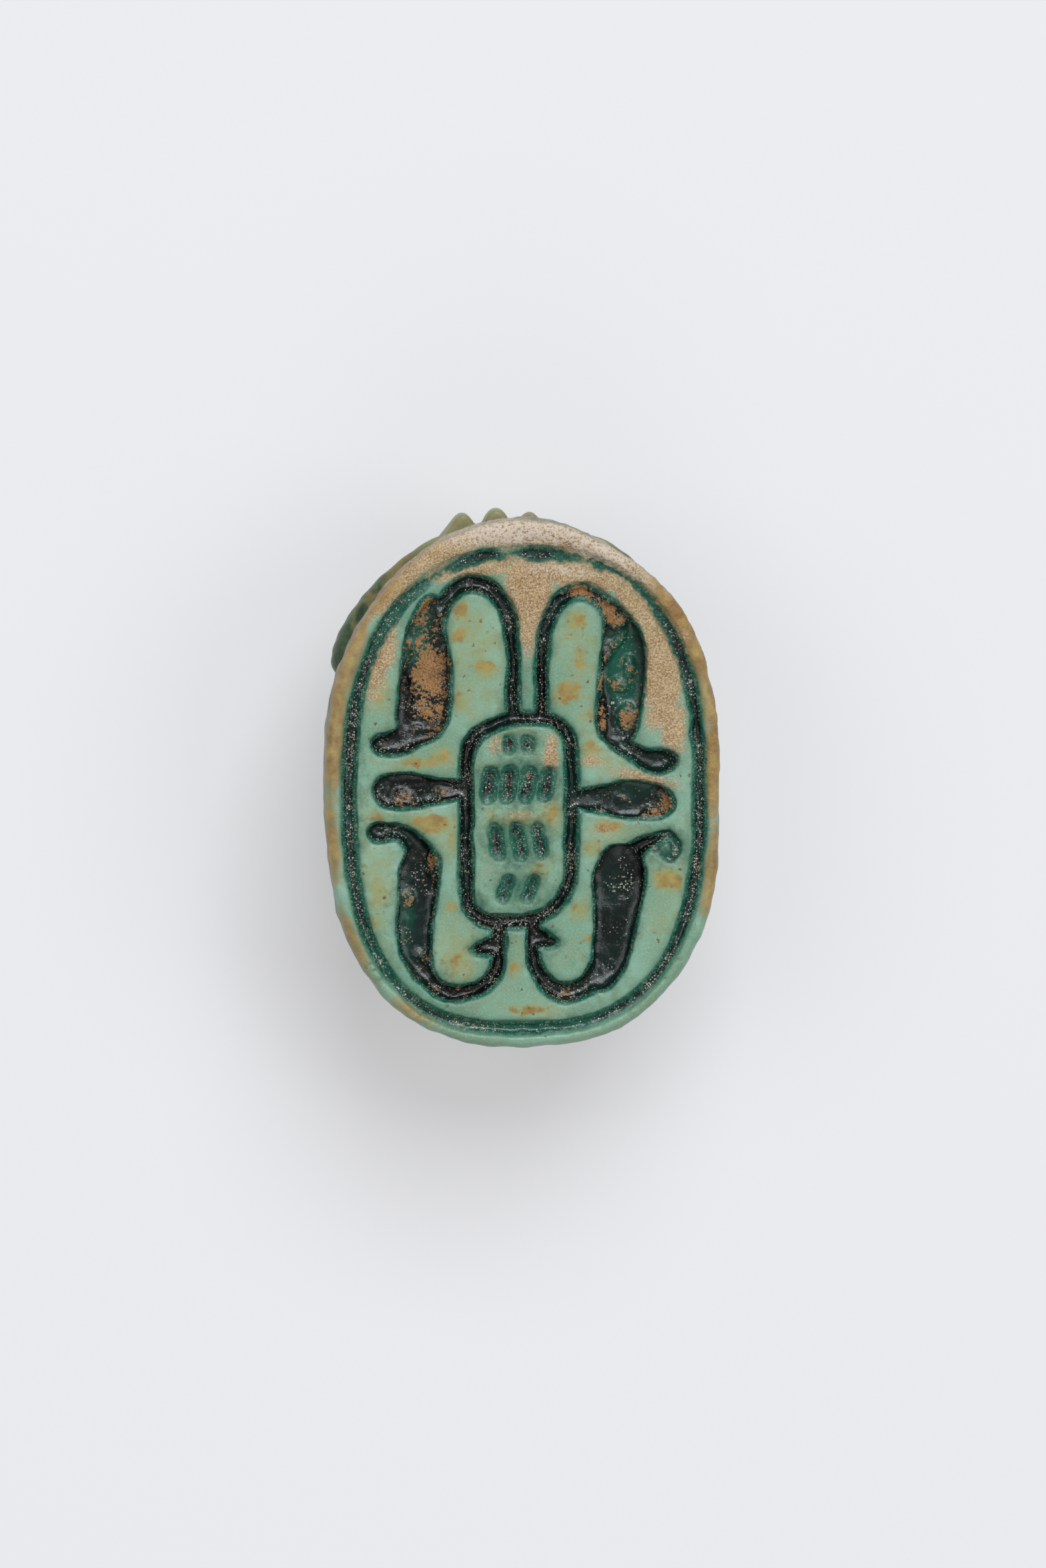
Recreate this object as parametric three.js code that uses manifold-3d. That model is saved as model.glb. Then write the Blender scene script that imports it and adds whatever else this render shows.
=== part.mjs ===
// A glazed steatite scarab: a beetle carved from one small piece of soapstone, drilled from
// head to tail for its string, with a design cut into the flat face under its feet.
// It lies loose on its back with that seal face up.
// Millimetres, +Z up, +Y towards the head, +X to the right of the seal face as it is looked at.
// The origin is on the surface that the back rests on, under the middle of the base plate.
import * as THREE from "three";
import { mergeVertices } from "three/addons/utils/BufferGeometryUtils.js";
import Module from "manifold-3d";

// The whole stone
const LENGTH = 18.0;
const WIDTH = 13.3;
const HEIGHT = 8.0;
const OUTLINE_POINTS = 60;
// How square each quarter of an outline is, 2 being an ellipse, from the head's right round to
// the tail's right. The base plate was rounded more on one side of the head.
const BODY_QUARTERS = [2.2, 2.2, 2.47, 2.47];
const PLATE_QUARTERS = [2.2, 2.08, 2.47, 2.56];
// Where the plate's edge leaves that outline: the direction and the reach of each swell in
// degrees, and how far it stands out, or in where the edge was ground away beside the head.
const PLATE_SWELLS = [[33, 24, 0.1], [62, 28, -0.24], [157, 26, 0.12], [339, 19, 0.15]];

// Depths are measured down from the seal face, which is on top
const PLATE_THICKNESS = 1.25;
const PLATE_ROUNDING = 0.22;
const WAIST_INSET = 1.15; // how far the body between plate and back stands in from the outline
const RIM_DEPTH = 3.3; // where the rim of the back begins
const RIM_THICKNESS = 0.35;

// The back: a dome with a worn flat spot where it rests
const BACK_INSET = 0.3;
const BACK_HEAD_INSET = 1.85;
const BACK_TAIL_INSET = 0.45;
const BACK_ROUNDNESS = 2.3; // exponent of its cross-section, 2 being an ellipse
const REST_SPOT_WEAR = 0.07;
const DIVIDE_Y = 2.4; // the line between the fore part and the wing cases, at the middle
const DIVIDE_BOW = 0.6; // how much nearer the head that line is at the sides
const BACK_LINE_RADIUS = 0.17;
const SIDE_NOTCH_WIDTH = 0.75;
const SIDE_NOTCH_DEPTH = 0.55;
const SIDE_NOTCH_RISE = 0.9; // how far it stands out of the rim on the plate's side
const SIDE_NOTCH_FALL = 1.6; // and how far down the back it runs

// The head, with its toothed front edge
const HEAD_WIDTH = 6.0;
const HEAD_LENGTH = 3.8;
const HEAD_CHEEK = 1.3; // from the back of the head to its widest place
const HEAD_SHOULDER = 2.1; // from the back of the head to the ends of the row of teeth
const HEAD_TUCK = 0.5; // how much the head draws in at its back
const HEAD_CLEARANCE = 1.0; // how far its highest place stays off the ground
const HEAD_UNDERSIDE = 4.1;
const HEAD_EDGE_THICKNESS = 0.9;
const HEAD_SLOPE = 0.42; // rise of the head's top for each millimetre back from its edge
const TOOTH_COUNT = 4;
const TOOTH_PITCH = 1.155;
const TOOTH_LENGTH = 0.75;
const TOOTH_ROW_BOW = 0.7204; // how far the row of teeth curves back over half its length
const TOOTH_ROW_X = 0.065; // the middle of the row
const LONGEST_TOOTH_X = -0.5; // the row is foremost here, since the head is a little askew
const EYE_RADIUS = 0.62;
const EYE_FORWARD = 1.7; // from the back of the head to the middle of the eye
const EYE_INSET = 0.3;
const EYE_DEPTH = 1.35; // below the underside of the head
const BROW_SETBACK = 0.65; // the line behind the teeth
const BROW_BOW = 0.25;

// The legs: flat bands that hug the body between plate and back
const LEG_THICKNESS = 1.3;
const LEG_SPREAD = { left: 1, right: 0.965 }; // those on the right were cut in further

// The hole for the string, from under the chin to under the tail
const BORE_DIAMETER = 1.6;
const BORE_DEPTH = 2.4;

// The graver's cuts in the seal face
const LEAST_CUT = 0.24; // the depth of the finest cut
const CUT_PER_WIDTH = 0.43; // how much deeper a cut goes for each millimetre of its half-width
const CUT_WALL_LEAN = 0.28; // how far a cut narrows for each millimetre of its depth
const LINE_HALF_WIDTH = 0.24;
const BORDER_INSET = { sides: 0.66, ends: 0.84 };
const BORDER_SHIFT = { x: 0.07, y: -0.26 }; // it was cut a little off the middle of the face
const BORDER_QUARTERS = [2.48, 2.42, 2.7, 2.64];
const BORDER_SHARE = 0.85; // the border was cut to this share of the usual depth
const STROKE_SHARE = 0.75; // and the strokes inside the ring to this

const wasm = await Module();
wasm.setup();

const { abs, cos, floor, max, min, PI, sign, sin } = Math;
const { degToRad: radians, radToDeg, euclideanModulo, lerp } = THREE.MathUtils;
const backRise = HEIGHT + REST_SPOT_WEAR - RIM_DEPTH;
const backHalfWidth = WIDTH / 2 - BACK_INSET;
const backHalfLength = (LENGTH - BACK_HEAD_INSET - BACK_TAIL_INSET) / 2;
const backMiddleY = (BACK_TAIL_INSET - BACK_HEAD_INSET) / 2;
const headBackY = LENGTH / 2 - HEAD_LENGTH;
const overshoot = 0.6; // how far a cutter stands out of the surface it cuts

// The legs and the design are free forms. Their points are typed below as they lie on a stone of
// 13.3 x 18 x 8 mm, and these factors stretch them with the stone.
const across = WIDTH / 13.3;
const along = LENGTH / 18;
const deep = HEIGHT / 8;

// A geometry as a solid, turned right way out if it was made inside out.
function solidOf(geometry) {
  const bare = new THREE.BufferGeometry();
  bare.setAttribute("position", geometry.getAttribute("position").clone());
  if (geometry.index) bare.setIndex(geometry.index);
  const merged = mergeVertices(bare, 1e-5);
  const triVerts = new Uint32Array(merged.index.array);
  const mesh = { numProp: 3, vertProperties: merged.getAttribute("position").array, triVerts };
  const solid = new wasm.Manifold(new wasm.Mesh(mesh));
  if (solid.volume() > 0) return solid;
  for (let i = 0; i < triVerts.length; i += 3) {
    [triVerts[i + 1], triVerts[i + 2]] = [triVerts[i + 2], triVerts[i + 1]];
  }
  return new wasm.Manifold(new wasm.Mesh(mesh));
}

// A solid skinned over rings of Vector3 that all have as many points. Its ends are capped, or
// joined to each other where it closes on itself.
function loft(rings, closed = false) {
  const around = rings[0].length;
  const points = rings.flat();
  const index = [];
  const bands = closed ? rings.length : rings.length - 1;
  for (let k = 0; k < bands; k++) {
    const low = k * around;
    const high = ((k + 1) % rings.length) * around;
    for (let i = 0; i < around; i++) {
      const j = (i + 1) % around;
      index.push(low + i, low + j, high + j, low + i, high + j, high + i);
    }
  }
  if (!closed) {
    for (const [start, turn] of [[0, true], [(rings.length - 1) * around, false]]) {
      const middle = new THREE.Vector3();
      for (let i = 0; i < around; i++) middle.addScaledVector(points[start + i], 1 / around);
      const hub = points.push(middle) - 1;
      for (let i = 0; i < around; i++) {
        const a = start + i;
        const b = start + ((i + 1) % around);
        index.push(...(turn ? [b, a, hub] : [a, b, hub]));
      }
    }
  }
  const geometry = new THREE.BufferGeometry().setFromPoints(points);
  geometry.setIndex(index);
  return solidOf(geometry);
}

// A point on an outline of four quarters, each of its own squareness.
function outlinePoint(angle, halfWidth, halfLength, quarters) {
  const power = 2 / quarters[floor(angle / (PI / 2)) % 4];
  return new THREE.Vector2(
    sign(cos(angle)) * abs(cos(angle)) ** power * halfWidth,
    sign(sin(angle)) * abs(sin(angle)) ** power * halfLength);
}

const turns = Array.from({ length: OUTLINE_POINTS }, (_, i) => (2 * PI * i) / OUTLINE_POINTS);

function bodyRing(halfWidth, halfLength, depth, quarters, middleY = 0) {
  return turns.map((turn) => {
    const { x, y } = outlinePoint(turn, halfWidth, halfLength, quarters);
    return new THREE.Vector3(x, middleY + y, HEIGHT - depth);
  });
}

const plateSwell = (turn) => PLATE_SWELLS.reduce((sum, [middle, reach, rise]) => {
  const beside = euclideanModulo(radToDeg(turn) - middle + 180, 360) - 180;
  const share = max(0, 1 - (beside / reach) ** 2);
  return sum + rise * share * share;
}, 0);

// One ring of the base plate, at a depth and drawn in by an inset.
function plateRing([depth, inset]) {
  return turns.map((turn) => {
    const draw = plateSwell(turn) - inset;
    const { x, y } = outlinePoint(turn, WIDTH / 2 + draw, LENGTH / 2 + draw, PLATE_QUARTERS);
    return new THREE.Vector3(x, y, HEIGHT - depth);
  });
}

function basePlate() {
  const profile = [
    [0, PLATE_ROUNDING],
    [PLATE_ROUNDING * 0.3, PLATE_ROUNDING * 0.3],
    [PLATE_ROUNDING, 0],
    [PLATE_THICKNESS - PLATE_ROUNDING, 0],
    [PLATE_THICKNESS, PLATE_ROUNDING],
  ];
  return loft(profile.map(plateRing));
}

function waist() {
  const ring = (depth) =>
    bodyRing(WIDTH / 2 - WAIST_INSET, LENGTH / 2 - WAIST_INSET, depth, BODY_QUARTERS);
  return loft([ring(PLATE_THICKNESS / 2), ring(RIM_DEPTH + deep)]);
}

// How deep below the seal face the surface of the back lies over a point.
function backDepth(x, y) {
  const squareness = BODY_QUARTERS[y > backMiddleY ? 0 : 2];
  const out = (abs(x / backHalfWidth) ** squareness
    + abs((y - backMiddleY) / backHalfLength) ** squareness) ** (1 / squareness);
  const share = max(0, 1 - min(out, 1) ** BACK_ROUNDNESS) ** (1 / BACK_ROUNDNESS);
  return RIM_DEPTH + backRise * share;
}

function backDome() {
  const ring = (halfWidth, halfLength, depth) =>
    bodyRing(halfWidth, halfLength, depth, BODY_QUARTERS, backMiddleY);
  const rings = [ring(backHalfWidth - RIM_THICKNESS, backHalfLength - RIM_THICKNESS,
    RIM_DEPTH - RIM_THICKNESS)];
  for (const degrees of [0, 10, 20, 31, 43, 55, 66, 76, 85]) {
    const share = cos(radians(degrees)) ** (2 / BACK_ROUNDNESS);
    const rise = sin(radians(degrees)) ** (2 / BACK_ROUNDNESS) * backRise;
    rings.push(ring(backHalfWidth * share, backHalfLength * share, RIM_DEPTH + rise));
  }
  return loft(rings);
}

// A round-nosed line cut along points that lie on the surface.
function roundCut(points, radius, steps) {
  const nose = new THREE.Shape().absarc(0, 0, radius, 0, 2 * PI);
  return solidOf(new THREE.ExtrudeGeometry(nose, {
    steps,
    curveSegments: 6,
    extrudePath: new THREE.CatmullRomCurve3(points),
  }));
}

const divideY = (x) => DIVIDE_Y + DIVIDE_BOW * (x / backHalfWidth) ** 2;
const onBack = (x, y) => new THREE.Vector3(x, y, HEIGHT - backDepth(x, y));

// The lines on the back: across behind the fore part, and down between the wing cases.
function backLines() {
  const crossing = [];
  for (let degrees = -84; degrees <= 84; degrees += 14) {
    const x = backHalfWidth * 0.9 * sin(radians(degrees));
    crossing.push(onBack(x, divideY(x)));
  }
  const tailY = backMiddleY - backHalfLength;
  const down = [];
  for (let degrees = 0; degrees <= 84; degrees += 12) {
    down.push(onBack(0, lerp(DIVIDE_Y, tailY, sin(radians(degrees)))));
  }
  return [roundCut(crossing, BACK_LINE_RADIUS, 24), roundCut(down, BACK_LINE_RADIUS, 16)];
}

// The notch in the rim at each end of the line across.
function sideNotch(side) {
  const y = DIVIDE_Y + DIVIDE_BOW;
  const outX = side * (WIDTH / 2 + overshoot);
  const inX = side * (backHalfWidth - SIDE_NOTCH_DEPTH);
  const triangle = (depth) => [
    new THREE.Vector3(inX, y, HEIGHT - depth),
    new THREE.Vector3(outX, y + SIDE_NOTCH_WIDTH, HEIGHT - depth),
    new THREE.Vector3(outX, y - SIDE_NOTCH_WIDTH, HEIGHT - depth),
  ];
  return loft([triangle(RIM_DEPTH + SIDE_NOTCH_FALL), triangle(RIM_DEPTH - SIDE_NOTCH_RISE)]);
}

// The front edge of the head: teeth on a shallow curve, each a rounded point.
function headOutline() {
  const half = (TOOTH_COUNT * TOOTH_PITCH) / 2;
  const outline = new THREE.Shape();
  const halfWidth = HEAD_WIDTH / 2;
  const shoulder = [halfWidth - HEAD_TUCK / 5, headBackY + HEAD_SHOULDER];
  outline.moveTo(-halfWidth + HEAD_TUCK, headBackY);
  outline.lineTo(halfWidth - HEAD_TUCK, headBackY);
  outline.lineTo(halfWidth, headBackY + HEAD_CHEEK);
  outline.lineTo(...shoulder);
  for (let tooth = TOOTH_COUNT - 1; tooth >= 0; tooth--) {
    const tip = TOOTH_ROW_X + (tooth + 0.5) * TOOTH_PITCH - half;
    const edge = LENGTH / 2 - TOOTH_ROW_BOW * ((tip - LONGEST_TOOTH_X) / half) ** 2;
    for (const out of [0.98, 0.75, 0.5, 0.22, -0.22, -0.5, -0.75]) {
      const x = tip + (out * TOOTH_PITCH) / 2;
      outline.lineTo(x, edge - TOOTH_LENGTH * abs(out) ** 1.9);
    }
  }
  outline.lineTo(-shoulder[0], shoulder[1]);
  outline.lineTo(-halfWidth, headBackY + HEAD_CHEEK);
  outline.closePath();
  return outline;
}

// The head: its outline as a block, its top planed down towards the toothed edge.
function head() {
  const deepest = HEIGHT - HEAD_CLEARANCE;
  const block = new THREE.ExtrudeGeometry(headOutline(), {
    depth: deepest - HEAD_UNDERSIDE,
    bevelEnabled: false,
  });
  block.translate(0, 0, HEIGHT - deepest);
  const topAt = (y) => HEIGHT - HEAD_UNDERSIDE - HEAD_EDGE_THICKNESS
    - HEAD_SLOPE * (LENGTH / 2 - y);
  const wide = HEAD_WIDTH;
  const nearY = headBackY - overshoot;
  const farY = LENGTH / 2 + overshoot;
  const under = -HEIGHT;
  const planing = (x) => [
    new THREE.Vector3(x, nearY, topAt(nearY)),
    new THREE.Vector3(x, nearY, under),
    new THREE.Vector3(x, farY, under),
    new THREE.Vector3(x, farY, topAt(farY)),
  ];
  const planed = solidOf(block).subtract(loft([planing(-wide), planing(wide)]));
  const brow = [-1, 0, 1].map((k) => {
    const y = LENGTH / 2 - TOOTH_LENGTH - BROW_SETBACK - BROW_BOW * k * k;
    return new THREE.Vector3(k * HEAD_WIDTH * 0.42, y, topAt(y));
  });
  return planed.subtract(roundCut(brow, BACK_LINE_RADIUS * 0.8, 10));
}

function eye(side) {
  const ball = new THREE.SphereGeometry(EYE_RADIUS, 12, 8);
  ball.scale(0.8, 1.25, 1);
  const y = headBackY + EYE_FORWARD;
  ball.translate(side * (HEAD_WIDTH / 2 - EYE_INSET), y, HEIGHT - HEAD_UNDERSIDE - EYE_DEPTH);
  return solidOf(ball);
}

// One leg as a flat band, from the [x, y, depth] of its outer edge on the right-hand side. Its
// half-height changes evenly from one end to the other.
function legBand(side, stations, halfHeights) {
  const edge = new THREE.CatmullRomCurve3(stations.map(([x, y, depth]) =>
    new THREE.Vector3(x * across, y * along, depth * deep)));
  const steps = 3 * (stations.length - 1);
  const spread = side * (side < 0 ? LEG_SPREAD.left : LEG_SPREAD.right);
  const rings = edge.getPoints(steps).map(({ x, y, z: depth }, k) => {
    const run = edge.getTangent(k / steps);
    const inwards = new THREE.Vector2(run.y, -run.x).normalize();
    if (inwards.x * x + inwards.y * y > 0) inwards.negate();
    const taper = k === 0 || k === steps ? 0.75 : 1;
    const halfHeight = lerp(...halfHeights, k / steps) * taper * deep;
    return Array.from({ length: 8 }, (_, i) => {
      const turn = (PI * (i + 0.5)) / 4;
      const reach = (LEG_THICKNESS / 2) * (1 - cos(turn) * taper);
      return new THREE.Vector3(
        (x + inwards.x * reach) * spread,
        y + inwards.y * reach,
        HEIGHT - depth + sin(turn) * halfHeight);
    });
  });
  return loft(rings);
}

// Three legs on each side: the fore leg reaches round to the chin, the hind leg to the tail.
function legs(side) {
  const fore = [[1.7, 8.5, 1.95], [2.9, 8.2, 2.0], [4.2, 7.3, 2.1], [5.3, 6.15, 2.25],
    [6.17, 4.7, 2.5], [6.37, 3.6, 2.75]];
  const middle = [[6.42, 2.45, 2.75], [6.5, 1.0, 2.6], [6.5, -0.9, 2.1], [6.33, -2.7, 1.8]];
  const hind = [[6.4, -1.4, 3.0], [6.1, -4.0, 2.8], [4.95, -6.6, 2.7], [3.3, -8.05, 2.2],
    [1.6, -8.65, 1.85]];
  return [
    legBand(side, fore, [0.36, 0.72]),
    legBand(side, middle, [0.6, 0.34]),
    legBand(side, hind, [0.62, 0.32]),
  ];
}

function stringHole() {
  const drill = new THREE.CylinderGeometry(BORE_DIAMETER / 2, BORE_DIAMETER / 2, LENGTH + 2, 20);
  drill.translate(0, 0, HEIGHT - BORE_DEPTH);
  return solidOf(drill);
}

// The cutter of one mark in the seal face, along stations of Vector3 that hold x, y and the
// half-width of the cut there. Its walls lean in to a flat floor, and a wider cut is deeper.
function graver(stations, share = 1, closed = false) {
  const last = stations.length - 1;
  const rings = stations.map(({ x, y, z: half }, k) => {
    const before = stations[closed ? (k + last) % (last + 1) : max(k - 1, 0)];
    const after = stations[closed ? (k + 1) % (last + 1) : min(k + 1, last)];
    const aside = new THREE.Vector2(before.y - after.y, after.x - before.x).normalize();
    const depth = (LEAST_CUT + CUT_PER_WIDTH * half) * share;
    const bed = max(half - CUT_WALL_LEAN * depth, half * 0.4);
    const section = [[-half, overshoot], [-half, 0], [-bed, -depth], [bed, -depth],
      [half, 0], [half, overshoot]];
    return section.map(([out, up]) =>
      new THREE.Vector3(x + aside.x * out, y + aside.y * out, HEIGHT + up));
  });
  return loft(rings, closed);
}

// The points of a mark as typed, [x, y, half-width], stretched with the stone.
const onStone = (points) => points.map(([x, y, half]) => [x * across, y * along, half * across]);

// A mark with round ends, drawn smoothly through [x, y, half-width] points.
function mark(points, steps, share) {
  const curve = new THREE.CatmullRomCurve3(points.map((p) => new THREE.Vector3(...p)));
  const body = curve.getPoints(steps);
  const rounding = [35, 62, 84].map(radians);
  const end = (from, towards) => {
    const out = from.clone().sub(towards).setZ(0).normalize();
    return rounding.map((turn) => {
      const p = from.clone().addScaledVector(out, from.z * sin(turn));
      return p.setZ(from.z * cos(turn));
    });
  };
  const start = end(body[0], body[1]).reverse();
  return graver([...start, ...body, ...end(body[steps], body[steps - 1])], share);
}

// The line round the whole design.
function borderLine() {
  const stations = turns.map((turn) => {
    const { x, y } = outlinePoint(turn, WIDTH / 2 - BORDER_INSET.sides,
      LENGTH / 2 - BORDER_INSET.ends, BORDER_QUARTERS);
    return new THREE.Vector3(x + BORDER_SHIFT.x, y + BORDER_SHIFT.y, LINE_HALF_WIDTH);
  });
  return graver(stations, BORDER_SHARE, true);
}

// The upright ring in the middle: a long loop whose four corners were each rounded by eye.
const ring = {
  left: -1.92 * across, right: 1.67 * across, top: 2.25 * along, bottom: -4.7 * along,
};

function nameRing() {
  const corners = [
    { x: ring.right, y: ring.top, rx: 1.0, ry: 1.15, from: 0 },
    { x: ring.left, y: ring.top, rx: 1.9, ry: 1.3, from: 90 },
    { x: ring.left, y: ring.bottom, rx: 0.9, ry: 0.9, from: 180 },
    { x: ring.right, y: ring.bottom, rx: 1.7, ry: 1.9, from: 270 },
  ];
  const stations = corners.flatMap(({ x, y, rx, ry, from }) => {
    const reachX = rx * across;
    const reachY = ry * along;
    const middleX = x - sign(x) * reachX;
    const middleY = y - sign(y) * reachY;
    return [0, 1, 2, 3, 4, 5].map((k) => {
      const turn = radians(from + 18 * k);
      return new THREE.Vector3(middleX + reachX * cos(turn), middleY + reachY * sin(turn),
        LINE_HALF_WIDTH);
    });
  });
  return graver(stations, 1, true);
}

// Rows of plain strokes inside the ring: how many, how high up, how tall, how wide, how slanted.
function strokeRows() {
  const rows = [
    { count: 2, y: 1.36, tall: 0.68, half: 0.23, pitch: 0.6, slant: 0 },
    { count: 4, y: 0, tall: 1.25, half: 0.25, pitch: 0.66, slant: 0.07 },
    { count: 3, y: -1.95, tall: 1.3, half: 0.22, pitch: 0.74, slant: -0.08 },
    { count: 2, y: -3.6, tall: 1.05, half: 0.22, pitch: 0.85, slant: 0.1 },
  ];
  const middleX = (ring.left + ring.right) / 2 - 0.03 * across;
  return rows.flatMap(({ count, y, tall, half, pitch, slant }) =>
    Array.from({ length: count }, (_, i) => {
      const x = (i - (count - 1) / 2) * pitch;
      const end = tall / 2 - half;
      const stroke = onStone([[x - slant, y - end, half], [x + slant, y + end, half]]);
      return mark(stroke.map(([sx, sy, width]) => [middleX + sx, sy, width]), 1, STROKE_SHARE);
    }));
}

// One of the four rearing cobras. Its tail leaves the ring as a straight stem, turns over in
// an arch, and runs back as the broad hood, which narrows to the neck and the head.
function cobra({ stemX, rootY, springY, crestY, footX, footHalf, hood, neck }) {
  const middleX = (stemX + footX) / 2;
  const line = LINE_HALF_WIDTH / across;
  const tail = [[stemX, rootY, line], [stemX, springY, line]];
  for (let degrees = 32; degrees <= 160; degrees += 32) {
    const x = middleX + ((stemX - footX) / 2) * cos(radians(degrees));
    const y = springY + (crestY - springY) * sin(radians(degrees));
    tail.push([x, y, lerp(line, footHalf, min(degrees / 90, 1))]);
  }
  return [mark(onStone(tail), 18), mark(onStone(hood), 12), mark(onStone(neck), 7)];
}

function cobras() {
  const upperLeft = cobra({
    stemX: -0.34, rootY: 2.25, springY: 4.8, crestY: 6.9, footX: -3.05, footHalf: 0.3,
    hood: [[-3.12, 6.2, 0.34], [-3.24, 5.6, 0.58], [-3.28, 4.6, 0.79], [-3.3, 3.5, 0.92],
      [-3.34, 2.85, 0.93], [-3.45, 2.3, 0.87]],
    neck: [[-3.45, 2.0, 0.52], [-4.2, 1.46, 0.43], [-4.82, 1.41, 0.34]],
  });
  const upperRight = cobra({
    stemX: 0.67, rootY: 2.25, springY: 4.5, crestY: 6.58, footX: 3.28, footHalf: 0.31,
    hood: [[3.05, 6.0, 0.32], [3.26, 5.42, 0.54], [3.4, 4.75, 0.73], [3.43, 3.8, 0.8],
      [3.28, 2.6, 0.76], [3.24, 1.98, 0.72]],
    neck: [[3.2, 1.5, 0.36], [3.65, 1.1, 0.3], [4.15, 0.82, 0.33], [4.5, 0.73, 0.42],
      [4.86, 0.73, 0.4]],
  });
  const lowerLeft = cobra({
    stemX: -0.8, rootY: -4.75, springY: -5.9, crestY: -7.17, footX: -3.5, footHalf: 0.3,
    hood: [[-3.45, -6.35, 0.42], [-3.62, -5.8, 0.52], [-3.68, -5.0, 0.6], [-3.62, -4.2, 0.65],
      [-3.54, -3.3, 0.69], [-3.46, -2.78, 0.69]],
    neck: [[-3.5, -2.3, 0.48], [-3.9, -1.78, 0.32], [-4.4, -1.53, 0.27], [-4.9, -1.57, 0.38]],
  });
  const lowerRight = cobra({
    stemX: 0.35, rootY: -4.75, springY: -5.7, crestY: -7.19, footX: 2.75, footHalf: 0.33,
    hood: [[2.75, -6.7, 0.42], [2.96, -6.15, 0.58], [3.12, -5.2, 0.69], [3.22, -4.3, 0.8],
      [3.26, -3.6, 0.92], [3.33, -2.98, 0.86]],
    neck: [[3.6, -2.55, 0.42], [4.0, -2.2, 0.29], [4.37, -2.02, 0.24], [4.66, -1.97, 0.2]],
  });
  return [...upperLeft, ...upperRight, ...lowerLeft, ...lowerRight];
}

// The lower right head curls round an eye left standing in the stone.
function curledHead() {
  const depth = LEAST_CUT + CUT_PER_WIDTH * 0.4 * across;
  const disc = (radius, lean) => {
    const rise = depth + overshoot;
    const made = new THREE.CylinderGeometry(radius, radius - lean * rise, rise, 18);
    made.rotateX(PI / 2);
    made.translate(4.88 * across, -2.24 * along, HEIGHT - depth + rise / 2);
    return solidOf(made);
  };
  return disc(0.54 * across, 0.1).subtract(disc(0.2 * across, -0.1));
}

// A short spur on the inner side of each lower tail, and a club on each side of the ring.
function spursAndClubs() {
  return [
    mark(onStone([[-0.95, -5.55, 0.33], [-1.35, -5.63, 0.28], [-1.68, -5.7, 0.17]]), 4),
    mark(onStone([[0.5, -5.25, 0.35], [0.82, -5.33, 0.28], [1.08, -5.42, 0.17]]), 4),
    mark(onStone([[-2.02, -0.17, 0.33], [-3.06, -0.21, 0.45], [-3.95, -0.19, 0.61],
      [-4.52, -0.17, 0.6]]), 9),
    mark(onStone([[1.85, -0.56, 0.32], [2.75, -0.57, 0.5], [3.6, -0.58, 0.68],
      [4.58, -0.66, 0.62]]), 9),
  ];
}

function restSpotCut() {
  const surface = new THREE.BoxGeometry(WIDTH, LENGTH, 2);
  surface.translate(0, 0, -1);
  return solidOf(surface);
}

function carvedStone() {
  const added = [waist(), backDome(), head(), eye(-1), eye(1), ...legs(-1), ...legs(1)];
  const cut = [
    ...backLines(), sideNotch(-1), sideNotch(1), stringHole(), restSpotCut(),
    borderLine(), nameRing(), ...strokeRows(), ...cobras(), curledHead(), ...spursAndClubs(),
  ];
  const body = added.reduce((stone, piece) => stone.add(piece), basePlate());
  return cut.reduce((stone, cutter) => stone.subtract(cutter), body);
}

function geometryOf(solid) {
  const { numProp, vertProperties, triVerts } = solid.getMesh();
  const positions = [];
  for (const vertex of triVerts) {
    positions.push(...vertProperties.subarray(vertex * numProp, vertex * numProp + 3));
  }
  const geometry = new THREE.BufferGeometry();
  geometry.setAttribute("position", new THREE.Float32BufferAttribute(positions, 3));
  geometry.computeVertexNormals();
  return geometry;
}

const glaze = new THREE.MeshStandardMaterial({
  color: 0x86b09a,
  roughness: 0.4,
  metalness: 0,
});

const scarab = new THREE.Mesh(geometryOf(carvedStone()), glaze);
scarab.name = "scarab";

const part = new THREE.Group();
part.add(scarab);

export default part;
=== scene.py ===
# %% [markdown]
# # A glazed soapstone scarab, lying on its back
#
# The real object is one pebble of soapstone, cut to the shape of a beetle, engraved on the flat
# face under its feet, and fired with a copper glaze. The solid with its true sizes comes from
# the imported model. What is added here is what a carver's hand, a kiln and a long time in the
# ground gave it: soft edges, uneven cut floors, packed soil, and a glaze that pooled dark in
# the cuts and wore off the high places.

# %% Load the frame
import math

import bmesh
import bpy
import numpy as np
from mathutils import Matrix, Vector, noise


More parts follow.
